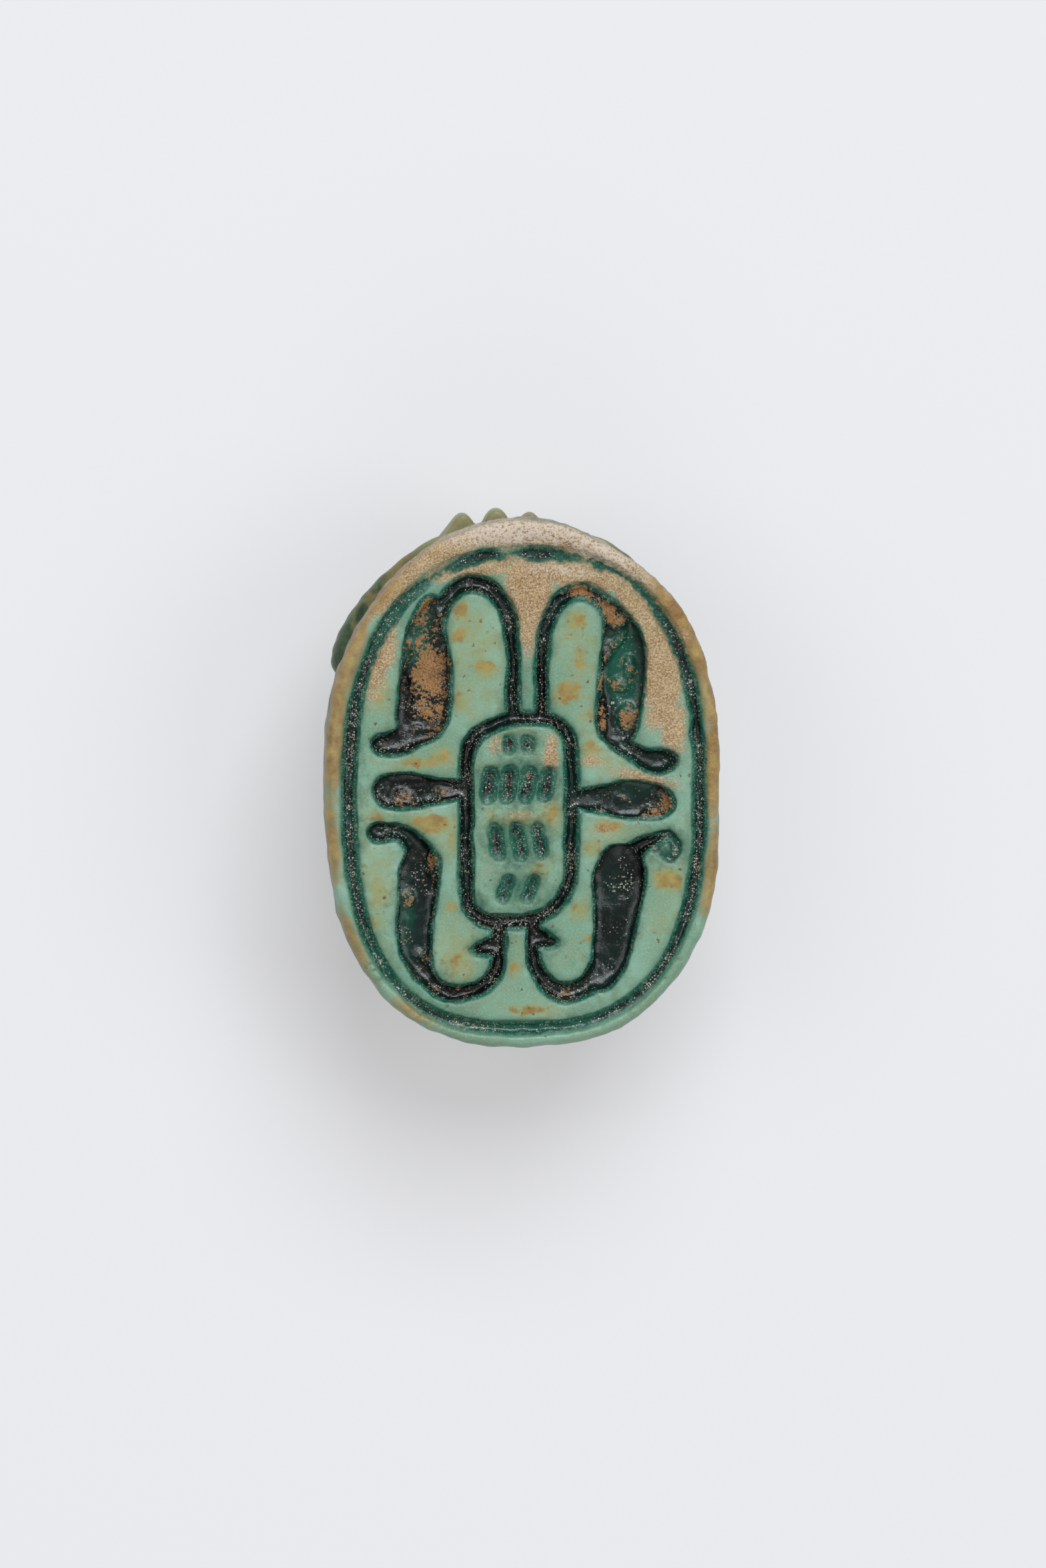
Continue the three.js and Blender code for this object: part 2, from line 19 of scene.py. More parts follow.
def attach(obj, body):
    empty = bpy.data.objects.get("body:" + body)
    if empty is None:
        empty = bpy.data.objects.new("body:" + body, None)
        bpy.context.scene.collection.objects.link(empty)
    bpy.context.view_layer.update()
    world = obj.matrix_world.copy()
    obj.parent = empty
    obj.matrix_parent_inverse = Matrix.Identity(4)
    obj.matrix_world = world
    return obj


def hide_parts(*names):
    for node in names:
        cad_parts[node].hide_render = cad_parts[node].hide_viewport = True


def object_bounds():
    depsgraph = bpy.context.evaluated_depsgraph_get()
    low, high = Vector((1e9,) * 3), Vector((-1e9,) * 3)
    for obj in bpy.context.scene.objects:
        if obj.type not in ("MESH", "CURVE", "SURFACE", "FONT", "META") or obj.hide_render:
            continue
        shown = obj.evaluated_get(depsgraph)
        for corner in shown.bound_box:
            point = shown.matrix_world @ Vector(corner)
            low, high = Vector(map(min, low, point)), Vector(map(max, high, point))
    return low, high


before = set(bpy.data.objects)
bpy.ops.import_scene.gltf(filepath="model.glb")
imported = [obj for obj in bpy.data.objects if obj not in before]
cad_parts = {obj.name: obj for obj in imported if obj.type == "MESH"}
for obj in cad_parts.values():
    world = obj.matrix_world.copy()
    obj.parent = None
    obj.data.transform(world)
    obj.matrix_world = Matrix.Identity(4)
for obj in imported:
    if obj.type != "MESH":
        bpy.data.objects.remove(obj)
cad_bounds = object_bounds()
print("packed model, lowest and highest corner:", [tuple(corner) for corner in cad_bounds])

# %% [markdown]
# ## The camera
#
# The stone is seen almost straight from above, from a little towards its head and a little to
# its left, so that the left wall of the base plate and the teeth of the head just show. It is
# a close-up from some way off, as with a long macro lens, so a long focal length is used and
# the outline hardly tapers. Blender's sensor width belongs to the long side of the picture,
# which is the height here.

# %% Camera
LENS_DISTANCE = 0.4  # metres
PICTURE_HEIGHT = 0.0532  # what the picture takes in at the seal face, in metres
LEAN_TO_HEAD = math.radians(8)
LEAN_TO_LEFT = math.radians(5)

seal_face_z = cad_bounds[1].z
aim = Vector((0, 0.00003, seal_face_z))
towards_lens = Vector((-math.sin(LEAN_TO_LEFT), math.sin(LEAN_TO_HEAD), 0))
towards_lens.z = math.sqrt(1 - towards_lens.length_squared)
rightwards = Vector((0, 1, 0)).cross(towards_lens).normalized()
upwards = towards_lens.cross(rightwards)

lens = bpy.data.cameras.new("macro_lens")
lens.lens = lens.sensor_width * LENS_DISTANCE / PICTURE_HEIGHT
lens.clip_start = 0.01
lens.clip_end = 10
camera = bpy.data.objects.new("macro_lens", lens)
bpy.context.scene.collection.objects.link(camera)
camera.location = aim + towards_lens * LENS_DISTANCE
camera.rotation_mode = "QUATERNION"
turn = Matrix((rightwards, upwards, towards_lens)).transposed()
camera.rotation_quaternion = turn.to_quaternion()
bpy.context.scene.camera = camera
print("focal length:", round(lens.lens), "mm")

# %% [markdown]
# ## A finer skin over the carved solid
#
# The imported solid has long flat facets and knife-sharp edges. Stone that was rubbed, glazed and
# carried has neither. One could bevel every edge, but carved lines cross each other at odd
# angles, where bevels break. Laying an even skin of small squares over the whole solid and then
# relaxing it rounds all edges alike, and gives small enough faces to carve into afterwards.
# Blender's voxels may not be very small, so this is done in millimetres, on a merged copy of
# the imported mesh, and the result goes back to metres at the end.

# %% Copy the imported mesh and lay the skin
SKIN_STEP = 0.111  # millimetres between the points of the skin
EDGE_SOFTENING = 4  # passes that round the edges, each by about half a step
MM = 1000

body_mesh = bmesh.new()
body_mesh.from_mesh(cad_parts["scarab"].data)
bmesh.ops.remove_doubles(body_mesh, verts=body_mesh.verts, dist=1e-6)
bmesh.ops.scale(body_mesh, verts=body_mesh.verts, vec=(MM, MM, MM))
rough_mesh = bpy.data.meshes.new("rough_stone")
body_mesh.to_mesh(rough_mesh)
body_mesh.free()

rough_stone = bpy.data.objects.new("rough_stone", rough_mesh)
bpy.context.scene.collection.objects.link(rough_stone)
remesh = rough_stone.modifiers.new("even_skin", "REMESH")
remesh.mode = "VOXEL"
remesh.voxel_size = SKIN_STEP
relax = rough_stone.modifiers.new("relaxed_edges", "SMOOTH")
relax.factor = 0.5
relax.iterations = EDGE_SOFTENING

depsgraph = bpy.context.evaluated_depsgraph_get()
skin = bpy.data.meshes.new_from_object(rough_stone.evaluated_get(depsgraph))
skin.name = "glazed_scarab"
bpy.data.objects.remove(rough_stone)
print("skin:", len(skin.vertices), "points,", len(skin.polygons), "faces")

# %% [markdown]
# ## Where things are on the stone
#
# Glaze, wear and soil don't fall at random. Glaze runs into cuts and turns dark there, wear
# takes the ridges, soil stays in the deepest cuts. So each point of the skin first learns how
# deep it lies below the seal face, how much cutting there is close by, how near it is to the
# plate's outline, and whether it is on a ridge or in a crease. Averaging a value with its
# neighbours' again and again spreads it sideways, which gives soft borders for nothing.

# %% Read the skin into arrays
points = np.empty(len(skin.vertices) * 3)
skin.vertices.foreach_get("co", points)
points = points.reshape(-1, 3)
normals = np.empty(len(skin.vertices) * 3)
skin.vertices.foreach_get("normal", normals)
normals = normals.reshape(-1, 3)
edges = np.empty(len(skin.edges) * 2, dtype=np.int64)
skin.edges.foreach_get("vertices", edges)
first, second = edges.reshape(-1, 2).T
count = len(points)
neighbours = np.bincount(first, minlength=count) + np.bincount(second, minlength=count)


def spread(values, passes):
    """Averages a value with its neighbours' again and again, so that it bleeds sideways."""
    for _ in range(passes):
        total = np.bincount(first, values[second], count)
        total += np.bincount(second, values[first], count)
        values = (values + total) / (1 + neighbours)
    return values


def ramp(values, low, high):
    """0 below low, 1 above high, and an even S-shaped rise between them."""
    share = np.clip((values - low) / (high - low), 0, 1)
    return share * share * (3 - 2 * share)


# %% Measure every point of the skin
HALF_WIDTH = cad_bounds[1].x * MM
HALF_LENGTH = cad_bounds[1].y * MM
FACE_Z = seal_face_z * MM
PLATE_THICKNESS = 1.25
PLATE_SQUARENESS = ((2.47, 2.08), (2.56, 2.2))  # left tail, left head, right tail, right head
FACE_REACH = 0.955  # the cuts end at this share of the way to the outline

x, y, z = points.T
squareness = np.array(PLATE_SQUARENESS)[(x > 0).astype(int), (y > 0).astype(int)]
outwards = (np.abs(x / HALF_WIDTH) ** squareness
            + np.abs(y / HALF_LENGTH) ** squareness) ** (1 / squareness)
on_face = (z > FACE_Z - 0.95) & (outwards < FACE_REACH)
cut_depth = np.where(on_face, np.clip(FACE_Z - z, 0, None), 0)
beside_cut = spread((cut_depth > 0.08).astype(float), 22)
on_plate = ramp(z, FACE_Z - PLATE_THICKNESS - 0.1, FACE_Z - PLATE_THICKNESS + 0.1)
rim = ramp(outwards, 0.9, 0.965) * on_plate
relaxed = np.stack([spread(points[:, axis], 5) for axis in range(3)], axis=1)
ridge = ((points - relaxed) * normals).sum(axis=1)
print("deepest cut:", round(cut_depth.max(), 2), "mm; ridges up to", round(ridge.max(), 2), "mm")

# %% [markdown]
# ## Where wear and soil lie
#
# On this stone the glaze is gone from the whole edge at the head, between the two upper arches,
# and down the right side, where tan stone shows, and the border line is worn shallow in two
# places there. Soil is still packed in both upper hoods, at the end of the right-hand club and
# in the head end of the lower left hood. A painter would dab such places with a soft brush, so
# each is named here as one dab: the place of its middle, its two radii in millimetres, how it
# is turned in degrees, and how strong it is.

# %% Soft dabs
WORN_PLACES = {
    "edge_above_left_arch": (-4.45, 6.95, 1.9, 0.6, 45, 1.15),
    "edge_beside_left_shoulder": (-5.5, 5.4, 1.2, 0.35, 62, 0.7),
    "edge_left_of_middle": (-2.6, 8.15, 1.7, 0.6, 20, 1.0),
    "edge_at_head": (0.0, 8.65, 2.4, 0.55, 0, 1.25),
    "edge_right_of_middle": (2.4, 8.1, 1.9, 0.7, -22, 1.3),
    "edge_above_right_arch": (3.95, 7.0, 1.7, 0.85, -48, 1.25),
    "right_shoulder": (4.75, 5.5, 1.9, 0.7, -68, 1.15),
    "edge_beside_right_shoulder": (5.7, 5.0, 1.5, 0.45, -66, 1.0),
    "ground_under_border_left": (-1.6, 7.42, 2.0, 0.42, 10, 1.0),
    "ground_under_border_right": (2.0, 7.3, 2.3, 0.6, -12, 1.3),
    "right_of_right_crest": (3.85, 6.15, 1.3, 0.5, -50, 1.15),
    "between_arches": (0.2, 6.7, 0.8, 1.4, 0, 1.25),
    "between_stems": (0.2, 5.2, 0.4, 1.2, 0, 0.85),
    "beside_left_arch": (-0.35, 6.6, 0.3, 0.8, 15, 0.6),
    "low_right_of_hood": (4.6, 2.3, 0.6, 0.7, 0, 0.8),
    "beside_right_hood": (4.72, 4.0, 0.85, 2.1, 3, 1.05),
    "below_right_shoulder": (5.1, 1.9, 0.6, 1.3, 0, 0.85),
    "over_right_club": (4.3, 0.15, 1.5, 0.35, -12, 0.8),
    "right_of_ring": (2.35, 0.75, 0.6, 0.4, 0, 0.65),
    "outside_left_hood": (-4.8, 4.5, 0.5, 1.9, -14, 0.85),
    "above_left_hood": (-4.1, 6.3, 0.7, 0.4, 45, 0.7),
    "in_ring_right": (0.95, 0.95, 0.32, 1.0, 0, 0.85),
    "in_ring_left": (-0.95, 1.4, 0.5, 0.6, 0, 0.66),
    "in_ring_under_row": (-0.1, -1.0, 0.8, 0.25, 0, 0.58),
    "in_ring_middle": (-0.3, -2.0, 0.35, 0.5, 0, 0.5),
    "under_right_club": (2.7, -1.6, 0.7, 0.35, 0, 0.6),
    "edge_right": (6.42, 0.8, 0.24, 2.8, 0, 0.8),
}
WHITENED_PLACES = {
    "edge_at_head": (0.0, 8.6, 2.7, 0.45, 0, 1.1),
    "edge_right_of_middle": (2.6, 8.0, 1.7, 0.45, -25, 1.0),
    "edge_above_right_arch": (4.3, 6.9, 1.3, 0.3, -45, 0.6),
    "ground_under_border": (1.2, 7.35, 1.3, 0.25, -6, 0.6),
}
LINE_WORN_AWAY = {
    "border_upper_left": (-2.95, 7.3, 0.75, 0.45, 30, 0.9),
    "border_at_head": (-0.5, 7.9, 0.4, 0.4, 0, 0.85),
    "border_upper_right": (1.95, 7.7, 0.75, 0.4, -15, 0.85),
    "border_right_shoulder": (3.5, 6.75, 1.3, 0.45, -42, 0.8),
    "eye_of_right_curl": (4.6, -2.5, 0.3, 0.22, 30, 0.8),
}
SOILED_PLACES = {
    "upper_left_hood": (-3.2, 5.6, 0.6, 1.2, 8, 1.15),
    "upper_left_hood_low": (-3.15, 3.6, 0.85, 1.7, 5, 1.12),
    "upper_left_neck": (-3.5, 1.9, 0.6, 0.3, 0, 0.6),
    "upper_left_arch_foot": (-2.62, 6.55, 0.2, 0.16, 0, 0.95),
    "upper_left_crest": (-1.85, 6.85, 0.26, 0.2, 0, 1.0),
    "upper_right_crest": (1.85, 6.6, 1.05, 0.3, -8, 1.35),
    "upper_right_arch_foot": (2.95, 5.9, 0.85, 0.36, -55, 1.25),
    "upper_right_hood_streak": (3.1, 4.55, 0.25, 0.9, -35, 0.85),
    "upper_right_hood_side": (2.72, 2.9, 0.16, 1.3, 3, 1.05),
    "upper_right_hood_blob": (3.35, 3.2, 0.4, 0.35, 0, 1.0),
    "upper_right_hood_blob_high": (3.65, 3.95, 0.28, 0.5, 0, 0.95),
    "upper_right_hood_blob_low": (3.6, 2.3, 0.4, 0.6, 0, 1.0),
    "upper_right_head": (4.3, 0.75, 0.4, 0.2, 0, 0.6),
    "left_club": (-4.0, -0.45, 0.45, 0.35, 0, 0.95),
    "left_club_root": (-2.5, -0.25, 0.8, 0.22, 0, 0.65),
    "lower_left_hood_top": (-2.95, -2.7, 0.3, 0.75, -15, 1.0),
    "lower_left_hood_side": (-3.85, -3.9, 0.22, 0.4, 0, 0.85),
    "lower_left_hood_foot": (-3.35, -6.0, 0.45, 0.6, 0, 0.7),
    "lower_left_arch": (-2.3, -7.1, 1.1, 0.3, -10, 0.62),
    "lower_right_arch": (1.5, -7.05, 1.0, 0.3, 10, 0.55),
    "border_right": (6.0, -3.0, 0.2, 0.9, 0, 0.6),
    "right_club_end": (5.0, -0.75, 0.42, 0.55, 0, 1.3),
    "right_club_tip": (4.5, -1.1, 0.75, 0.25, 15, 1.15),
    "right_club_edge": (2.75, -1.0, 0.5, 0.14, 0, 0.85),
    "right_club_middle": (3.55, -0.6, 0.3, 0.15, 0, 0.7),
    "stroke_row_middle": (0.0, 0.35, 0.35, 0.25, 0, 1.0),
    "stroke_row": (-0.2, -0.05, 1.0, 0.2, 0, 0.7),
    "small_strokes": (0.25, 1.35, 0.25, 0.25, 0, 0.7),
}
OCHRE_PLACES = {
    "left_arch_all_over": (-1.8, 4.6, 1.1, 2.1, 0, 0.5),
    "right_arch_all_over": (1.9, 4.3, 1.0, 2.0, 0, 0.5),
    "inner_left_all_over": (-2.3, -5.6, 1.2, 1.4, 0, 0.42),
    "left_outside_all_over": (-5.1, -3.6, 0.7, 2.2, 0, 0.42),
    "left_middle_all_over": (-3.4, -1.35, 1.7, 0.6, 0, 0.45),
    "left_neck_all_over": (-3.4, 0.9, 1.6, 0.5, 0, 0.5),
    "right_middle_all_over": (3.4, -1.9, 1.8, 0.5, 0, 0.4),
    "right_neck_all_over": (2.9, 1.0, 1.4, 0.6, 0, 0.45),
    "ring_all_over": (-0.1, -0.6, 1.3, 3.0, 0, 0.4),
    "right_outside_all_over": (5.0, -4.0, 0.7, 1.6, 0, 0.4),
    "left_arch_top": (-2.15, 6.05, 0.35, 0.4, 20, 1.1),
    "left_arch_high": (-2.15, 5.15, 0.35, 0.28, 0, 0.95),
    "left_arch_middle": (-1.3, 4.05, 0.45, 0.3, -10, 0.95),
    "left_arch_low": (-2.2, 3.0, 0.4, 0.5, 0, 0.8),
    "left_arch_side": (-1.1, 5.0, 0.4, 0.5, 0, 0.55),
    "right_arch_top": (1.85, 5.65, 0.35, 0.4, 0, 0.95),
    "right_arch_middle": (2.0, 4.3, 0.3, 0.45, 0, 0.9),
    "right_arch_low": (1.5, 3.15, 0.6, 0.45, 20, 1.0),
    "right_arch_foot": (2.2, 2.3, 0.5, 0.4, 0, 0.6),
    "beside_ring_left": (-2.7, 1.0, 0.55, 0.4, -15, 0.85),
    "beside_left_neck": (-3.5, 0.8, 0.7, 0.25, 0, 0.95),
    "left_edge_high": (-4.4, 0.6, 0.4, 0.3, 0, 0.6),
    "left_of_ring_middle": (-3.2, -1.35, 0.9, 0.4, 0, 1.0),
    "left_of_ring_low": (-2.45, -1.9, 0.4, 0.5, 0, 0.7),
    "left_edge_middle": (-4.9, -1.0, 0.6, 0.3, 0, 0.7),
    "left_edge_low": (-4.95, -3.6, 0.4, 0.8, 0, 0.7),
    "left_edge_foot": (-5.0, -4.6, 0.35, 0.3, 0, 0.8),
    "inner_left_spot": (-2.45, -4.15, 0.22, 0.18, 0, 1.0),
    "inner_left_foot": (-2.2, -6.1, 0.8, 0.7, 0, 0.75),
    "between_lower_tails": (-0.15, -5.4, 0.4, 0.7, 0, 0.5),
    "foot_left": (-0.3, -6.3, 0.25, 0.3, 0, 0.85),
    "foot_middle": (0.3, -7.75, 0.7, 0.22, 5, 0.95),
    "foot_left_low": (-0.3, -7.7, 0.25, 0.2, 0, 0.8),
    "inner_right_spot": (2.25, -5.3, 0.3, 0.22, 0, 0.85),
    "inner_right_high": (1.9, -4.3, 0.5, 0.45, 0, 0.7),
    "beside_right_curl": (4.95, -3.35, 0.55, 0.4, -10, 1.1),
    "right_edge_low": (5.2, -4.6, 0.4, 0.4, 0, 0.5),
    "under_right_club": (2.9, -1.5, 0.6, 0.3, 0, 0.9),
    "right_of_ring_low": (2.4, -2.2, 0.4, 0.4, 0, 0.8),
    "right_of_ring_high": (2.3, 1.2, 0.4, 0.4, 0, 0.8),
    "in_ring_right": (0.95, -1.0, 0.45, 0.6, 0, 0.85),
    "in_ring_low": (0.5, -2.9, 0.5, 0.5, 0, 0.7),
    "in_ring_top": (-0.4, 1.9, 0.8, 0.25, 0, 0.8),
    "in_ring_middle": (-0.2, -1.2, 0.7, 0.35, 0, 0.9),
    "in_ring_left": (-1.1, -0.9, 0.3, 0.6, 0, 0.6),
    "outside_left_hood": (-4.9, 3.4, 0.35, 0.9, 0, 0.7),
    "right_shoulder_edge": (4.3, 5.3, 0.3, 0.8, 35, 0.8),
    "over_right_neck": (3.9, 0.2, 0.5, 0.2, 0, 0.6),
}
RIM_RUBBED = {
    "left_head": (-4.9, 6.4, 0.4, 1.3, -42, 0.75),
    "left_shoulder": (-5.95, 4.3, 0.42, 1.8, -18, 1.15),
    "left_middle": (-6.35, 1.7, 0.38, 2.2, -3, 1.1),
    "left_low": (-6.45, -1.9, 0.3, 1.9, 4, 0.85),
    "left_tail": (-5.75, -5.2, 0.28, 1.6, 24, 0.75),
    "tail_left": (-3.7, -7.75, 1.1, 0.27, -32, 0.7),
    "tail_right": (2.6, -8.4, 1.2, 0.2, 18, 0.4),
    "right_head": (5.2, 6.0, 0.42, 1.4, 38, 1.0),
    "right_shoulder": (6.1, 3.6, 0.4, 1.8, 11, 1.15),
    "right_middle": (6.5, 0.6, 0.33, 1.9, 0, 1.05),
    "right_low": (6.42, -2.9, 0.3, 1.9, -8, 0.95),
}
STAINED_PLACES = {
    "small_strokes": (-0.1, 1.35, 0.8, 0.55, 0, 0.7),
    "stroke_row_high": (-0.15, 0.0, 1.4, 0.75, 0, 1.25),
    "stroke_row_middle": (-0.15, -1.95, 1.1, 0.9, 0, 1.1),
    "stroke_row_low": (-0.15, -3.5, 0.95, 0.7, 0, 0.85),
    "ring_corner": (-1.6, -4.1, 0.5, 0.5, 0, 0.9),
    "ring_corner_right": (1.1, -4.1, 0.6, 0.5, 0, 0.6),
    "left_tail_foot": (-2.9, -6.6, 0.9, 0.5, 30, 0.6),
    "right_tail_foot": (2.2, -6.8, 0.8, 0.4, -20, 0.6),
    "left_spur": (-1.4, -5.6, 0.6, 0.4, 0, 0.8),
    "right_spur": (0.9, -5.4, 0.55, 0.4, 0, 0.8),
    "right_curl": (4.95, -2.2, 0.75, 0.7, 0, 1.0),
    "left_neck": (-4.0, 1.75, 1.1, 0.4, -10, 0.6),
    "left_stem_root": (-0.4, 2.6, 0.5, 0.5, 0, 0.6),
    "right_stem_root": (0.8, 2.6, 0.5, 0.5, 0, 0.5),
    "lower_left_hood": (-3.9, -4.6, 0.9, 1.8, 0, 0.5),
    "border_left": (-5.7, 0.0, 0.5, 3.5, 0, 0.5),
}
CLEAR_IN_CUT = {
    "right_curl": (5.0, -2.25, 0.5, 0.5, 0, 0.7),
    "upper_right_hood": (3.45, 3.7, 0.5, 1.7, 0, 1.0),
    "upper_left_hood": (-3.5, 5.0, 0.5, 1.4, 0, 0.7),
    "lower_left_hood": (-3.85, -4.6, 0.3, 1.7, 0, 0.5),
    "border_tail": (0.0, -8.3, 3.6, 0.4, 0, 0.75),
    "border_upper_left": (-4.2, 5.9, 1.9, 0.5, 50, 0.75),
    "border_left_tail": (-4.6, -6.3, 0.5, 2.0, 40, 0.6),
    "border_head": (-0.6, 7.9, 2.2, 0.4, 0, 0.35),
    "right_club": (3.9, -0.3, 0.9, 0.3, 0, 0.45),
}


def dabbed(places):
    """The strongest dab at each point, fading softly from the middle of each oval."""
    strength = np.zeros(count)
    for middle_x, middle_y, radius_x, radius_y, degrees, amount in places.values():
        turned = math.radians(degrees)
        along = (x - middle_x) * math.cos(turned) + (y - middle_y) * math.sin(turned)
        over = (y - middle_y) * math.cos(turned) - (x - middle_x) * math.sin(turned)
        away = (along / radius_x) ** 2 + (over / radius_y) ** 2
        strength = np.maximum(strength, amount * np.exp(-0.7 * away))
    return strength * on_plate


worn = dabbed(WORN_PLACES)
soiled = dabbed(SOILED_PLACES) * ramp(cut_depth, 0.08, 0.25)
line_gone = dabbed(LINE_WORN_AWAY)
print("worn over", round(100 * np.mean(worn > 0.4)), "% of the skin")

# %% [markdown]
# ## What the hand left behind
#
# No surface of a hand-cut stone is flat. The graver chatters along the floor of each cut and
# scoops the broad ones deeper in the middle, the ground falls off a little towards each cut,
# the plate's rim is chipped and wavy, soil lies in crumbs, and bare stone is finely pitted. A
# displacement texture could do it, but each of these belongs to its own places, so the points
# are moved along their normals by noise of the right size in millimetres.

# %% Move the points of the skin
HAND_WAVE = (2.6, 0.045)  # size of the waves and how far they reach, in millimetres
HAND_WOBBLE = (0.9, 0.06)  # how the outlines of the cuts wander to the side
EDGE_CRUMBLE = (0.28, 0.03)  # and how ragged they are
SHOULDER = 0.07  # how far the ground falls off beside a cut
SCOOP = 0.2  # how much deeper the middle of a broad cut is
CHATTER = (0.3, 0.04)
RIM_CHIPS = (0.8, 0.05)
RIM_SWELL = (3.5, 0.05)
SKIN_LOSS = 0.07  # what relaxing took off the outer edges, given back
SOIL_CRUMBS = (0.15, 0.05)
SOIL_FILL = 0.2  # how high the soil stands in a cut
WORN_PITS = (0.2, 0.025)
WORN_FILL = 0.6  # the share of a line's depth that is gone where it is worn away
LEG_HATCHING = (0.55, 0.012)
CURL_MIDDLE = (4.86, -2.25)  # the curl of the lower right head, too fine a line for the skin
CURL_RADIUS = 0.4
CURL_HALF_WIDTH = 0.18
CURL_DEPTH = 0.14


def grain(size, octaves=2):
    """Noise about -1 to 1 whose lumps are about size millimetres across, at every point."""
    return np.array([noise.fractal(Vector(point) / size, 0.8, 2.1, octaves)
                     for point in points])


def wander(size):
    """A sideways push for every point, in x and y."""
    pushes = np.array([noise.noise_vector(Vector(point) / size) for point in points])
    pushes[:, 2] = 0
    return pushes


below_plate = 1 - on_plate
crumbs = grain(SOIL_CRUMBS[0], 3)
soiled = soiled * (0.85 + 0.4 * grain(0.6))
leg_wave = np.sin(2 * np.pi * (y - 0.4 * z + 0.25 * grain(1.5)) / LEG_HATCHING[0])
on_legs = below_plate * ramp(outwards, 0.84, 0.9) * ramp(z, FACE_Z - 3.6, FACE_Z - 3.2)

move = HAND_WAVE[1] * grain(HAND_WAVE[0])
move -= SHOULDER * ramp(beside_cut, 0.05, 0.6) * (cut_depth < 0.12)
move -= SCOOP * ramp(beside_cut, 0.6, 0.95) * ramp(cut_depth, 0.2, 0.45)
move += CHATTER[1] * grain(CHATTER[0]) * ramp(cut_depth, 0.1, 0.3)
move += line_gone * WORN_FILL * cut_depth
move += (SKIN_LOSS + RIM_CHIPS[1] * grain(RIM_CHIPS[0]) + RIM_SWELL[1] * grain(RIM_SWELL[0])) * rim
move += WORN_PITS[1] * grain(WORN_PITS[0]) * ramp(worn, 0.3, 0.7)
move += (SKIN_LOSS + LEG_HATCHING[1] * leg_wave) * on_legs
curl_radii = np.hypot(x - CURL_MIDDLE[0], y - CURL_MIDDLE[1])
curl = np.exp(-((curl_radii - CURL_RADIUS) / CURL_HALF_WIDTH) ** 2) * on_face
curl *= ramp(x + y, CURL_MIDDLE[0] + CURL_MIDDLE[1] - 0.6, CURL_MIDDLE[0] + CURL_MIDDLE[1] - 0.3)
move -= CURL_DEPTH * curl * (cut_depth < CURL_DEPTH)
standing = ramp(soiled, 0.4, 0.65) * np.clip(cut_depth / 0.5, 0, 1)
move += standing * (SOIL_FILL + SOIL_CRUMBS[1] * crumbs)

rests = ramp(-z, -0.3, -0.03)  # the spot that it lies on stays flat
rubbed_round = ramp(y, 7.2, 7.8) * ramp(-z, 1.9 - FACE_Z, 2.2 - FACE_Z)
softer = points + (relaxed - points) * (0.9 * rubbed_round)[:, None]
moved = softer + normals * (move * (1 - rests))[:, None]
sideways = HAND_WOBBLE[1] * wander(HAND_WOBBLE[0]) + EDGE_CRUMBLE[1] * wander(EDGE_CRUMBLE[0])
moved += sideways * (on_face & (outwards < 0.9))[:, None]
moved[:, 2] = np.clip(moved[:, 2], 0, FACE_Z + 0.08)
print("moved by", round(np.abs(move).mean(), 3), "mm on average,",
      round(np.abs(move).max(), 2), "mm at most")

# %% [markdown]
# ## Back to metres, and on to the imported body
#
# What was measured goes with the mesh as named attributes, which the material reads, so that
# colour and relief agree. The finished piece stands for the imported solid, which MuJoCo keeps.

# %% Finish the piece
skin.vertices.foreach_set("co", (moved / MM).ravel())


filled_depth = np.clip(cut_depth / 0.3, 0, 1)


def keep(name, values):
    """Stores one value for each point of the skin under a name."""
    layer = skin.attributes.new(name, "FLOAT", "POINT")
    layer.data.foreach_set("value", values.astype(np.float32))


pooled_here = 0.5 * filled_depth + 0.5 * spread(filled_depth, 3)
keep("cut_depth", cut_depth * (1 - 0.75 * line_gone))
keep("pooled", np.maximum(pooled_here * (1 - 0.6 * line_gone), 0.8 * curl))
keep("beside_cut", beside_cut * (1 - 0.6 * line_gone))
keep("worn", worn)
keep("whitened", dabbed(WHITENED_PLACES))
keep("soiled", soiled)
keep("ochre", dabbed(OCHRE_PLACES))
keep("rim_rubbed", dabbed(RIM_RUBBED))
keep("stained", dabbed(STAINED_PLACES))
keep("clear_in_cut", dabbed(CLEAR_IN_CUT))
keep("wall", on_plate * ramp(-normals[:, 2], -0.5, -0.12) * (1 - on_face))
keep("below_plate", below_plate)
keep("on_head", below_plate * ramp(y, 7.4, 8.2))
keep("ridge", ridge)
skin.shade_smooth()
skin.update()

scarab = bpy.data.objects.new("glazed_scarab", skin)
bpy.context.scene.collection.objects.link(scarab)
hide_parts("scarab")
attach(scarab, "root")
print("piece:", sum(len(face.vertices) - 2 for face in skin.polygons), "triangles")

# %% [markdown]
# ## Two small helpers for materials
#
# Colours are written as the hex codes that a colour picker shows, and turned to linear light
# for Blender. One helper adds a shader node with its settings and what goes into its sockets.

# %% Colour and node helpers


def srgb(code):
    """The linear colour of a hex code such as 7FA28C, with full alpha."""
    channels = [int(code[i:i + 2], 16) / 255 for i in (0, 2, 4)]
    linear = [c / 12.92 if c <= 0.04045 else ((c + 0.055) / 1.055) ** 2.4 for c in channels]
    return (*linear, 1)


def add_node(tree, kind, inputs=None, **settings):
    """Adds a shader node. A socket, by name or number, takes a value or another's output."""
    made = tree.nodes.new(kind)
    for name, value in settings.items():
        setattr(made, name, value)
    for key, value in (inputs or {}).items():
        if isinstance(value, bpy.types.NodeSocket):
            tree.links.new(value, made.inputs[key])
        else:
            made.inputs[key].default_value = value
    return made


def per_mm(size):
    """The scale of a texture on metres whose pattern repeats every size millimetres."""
    return MM / size


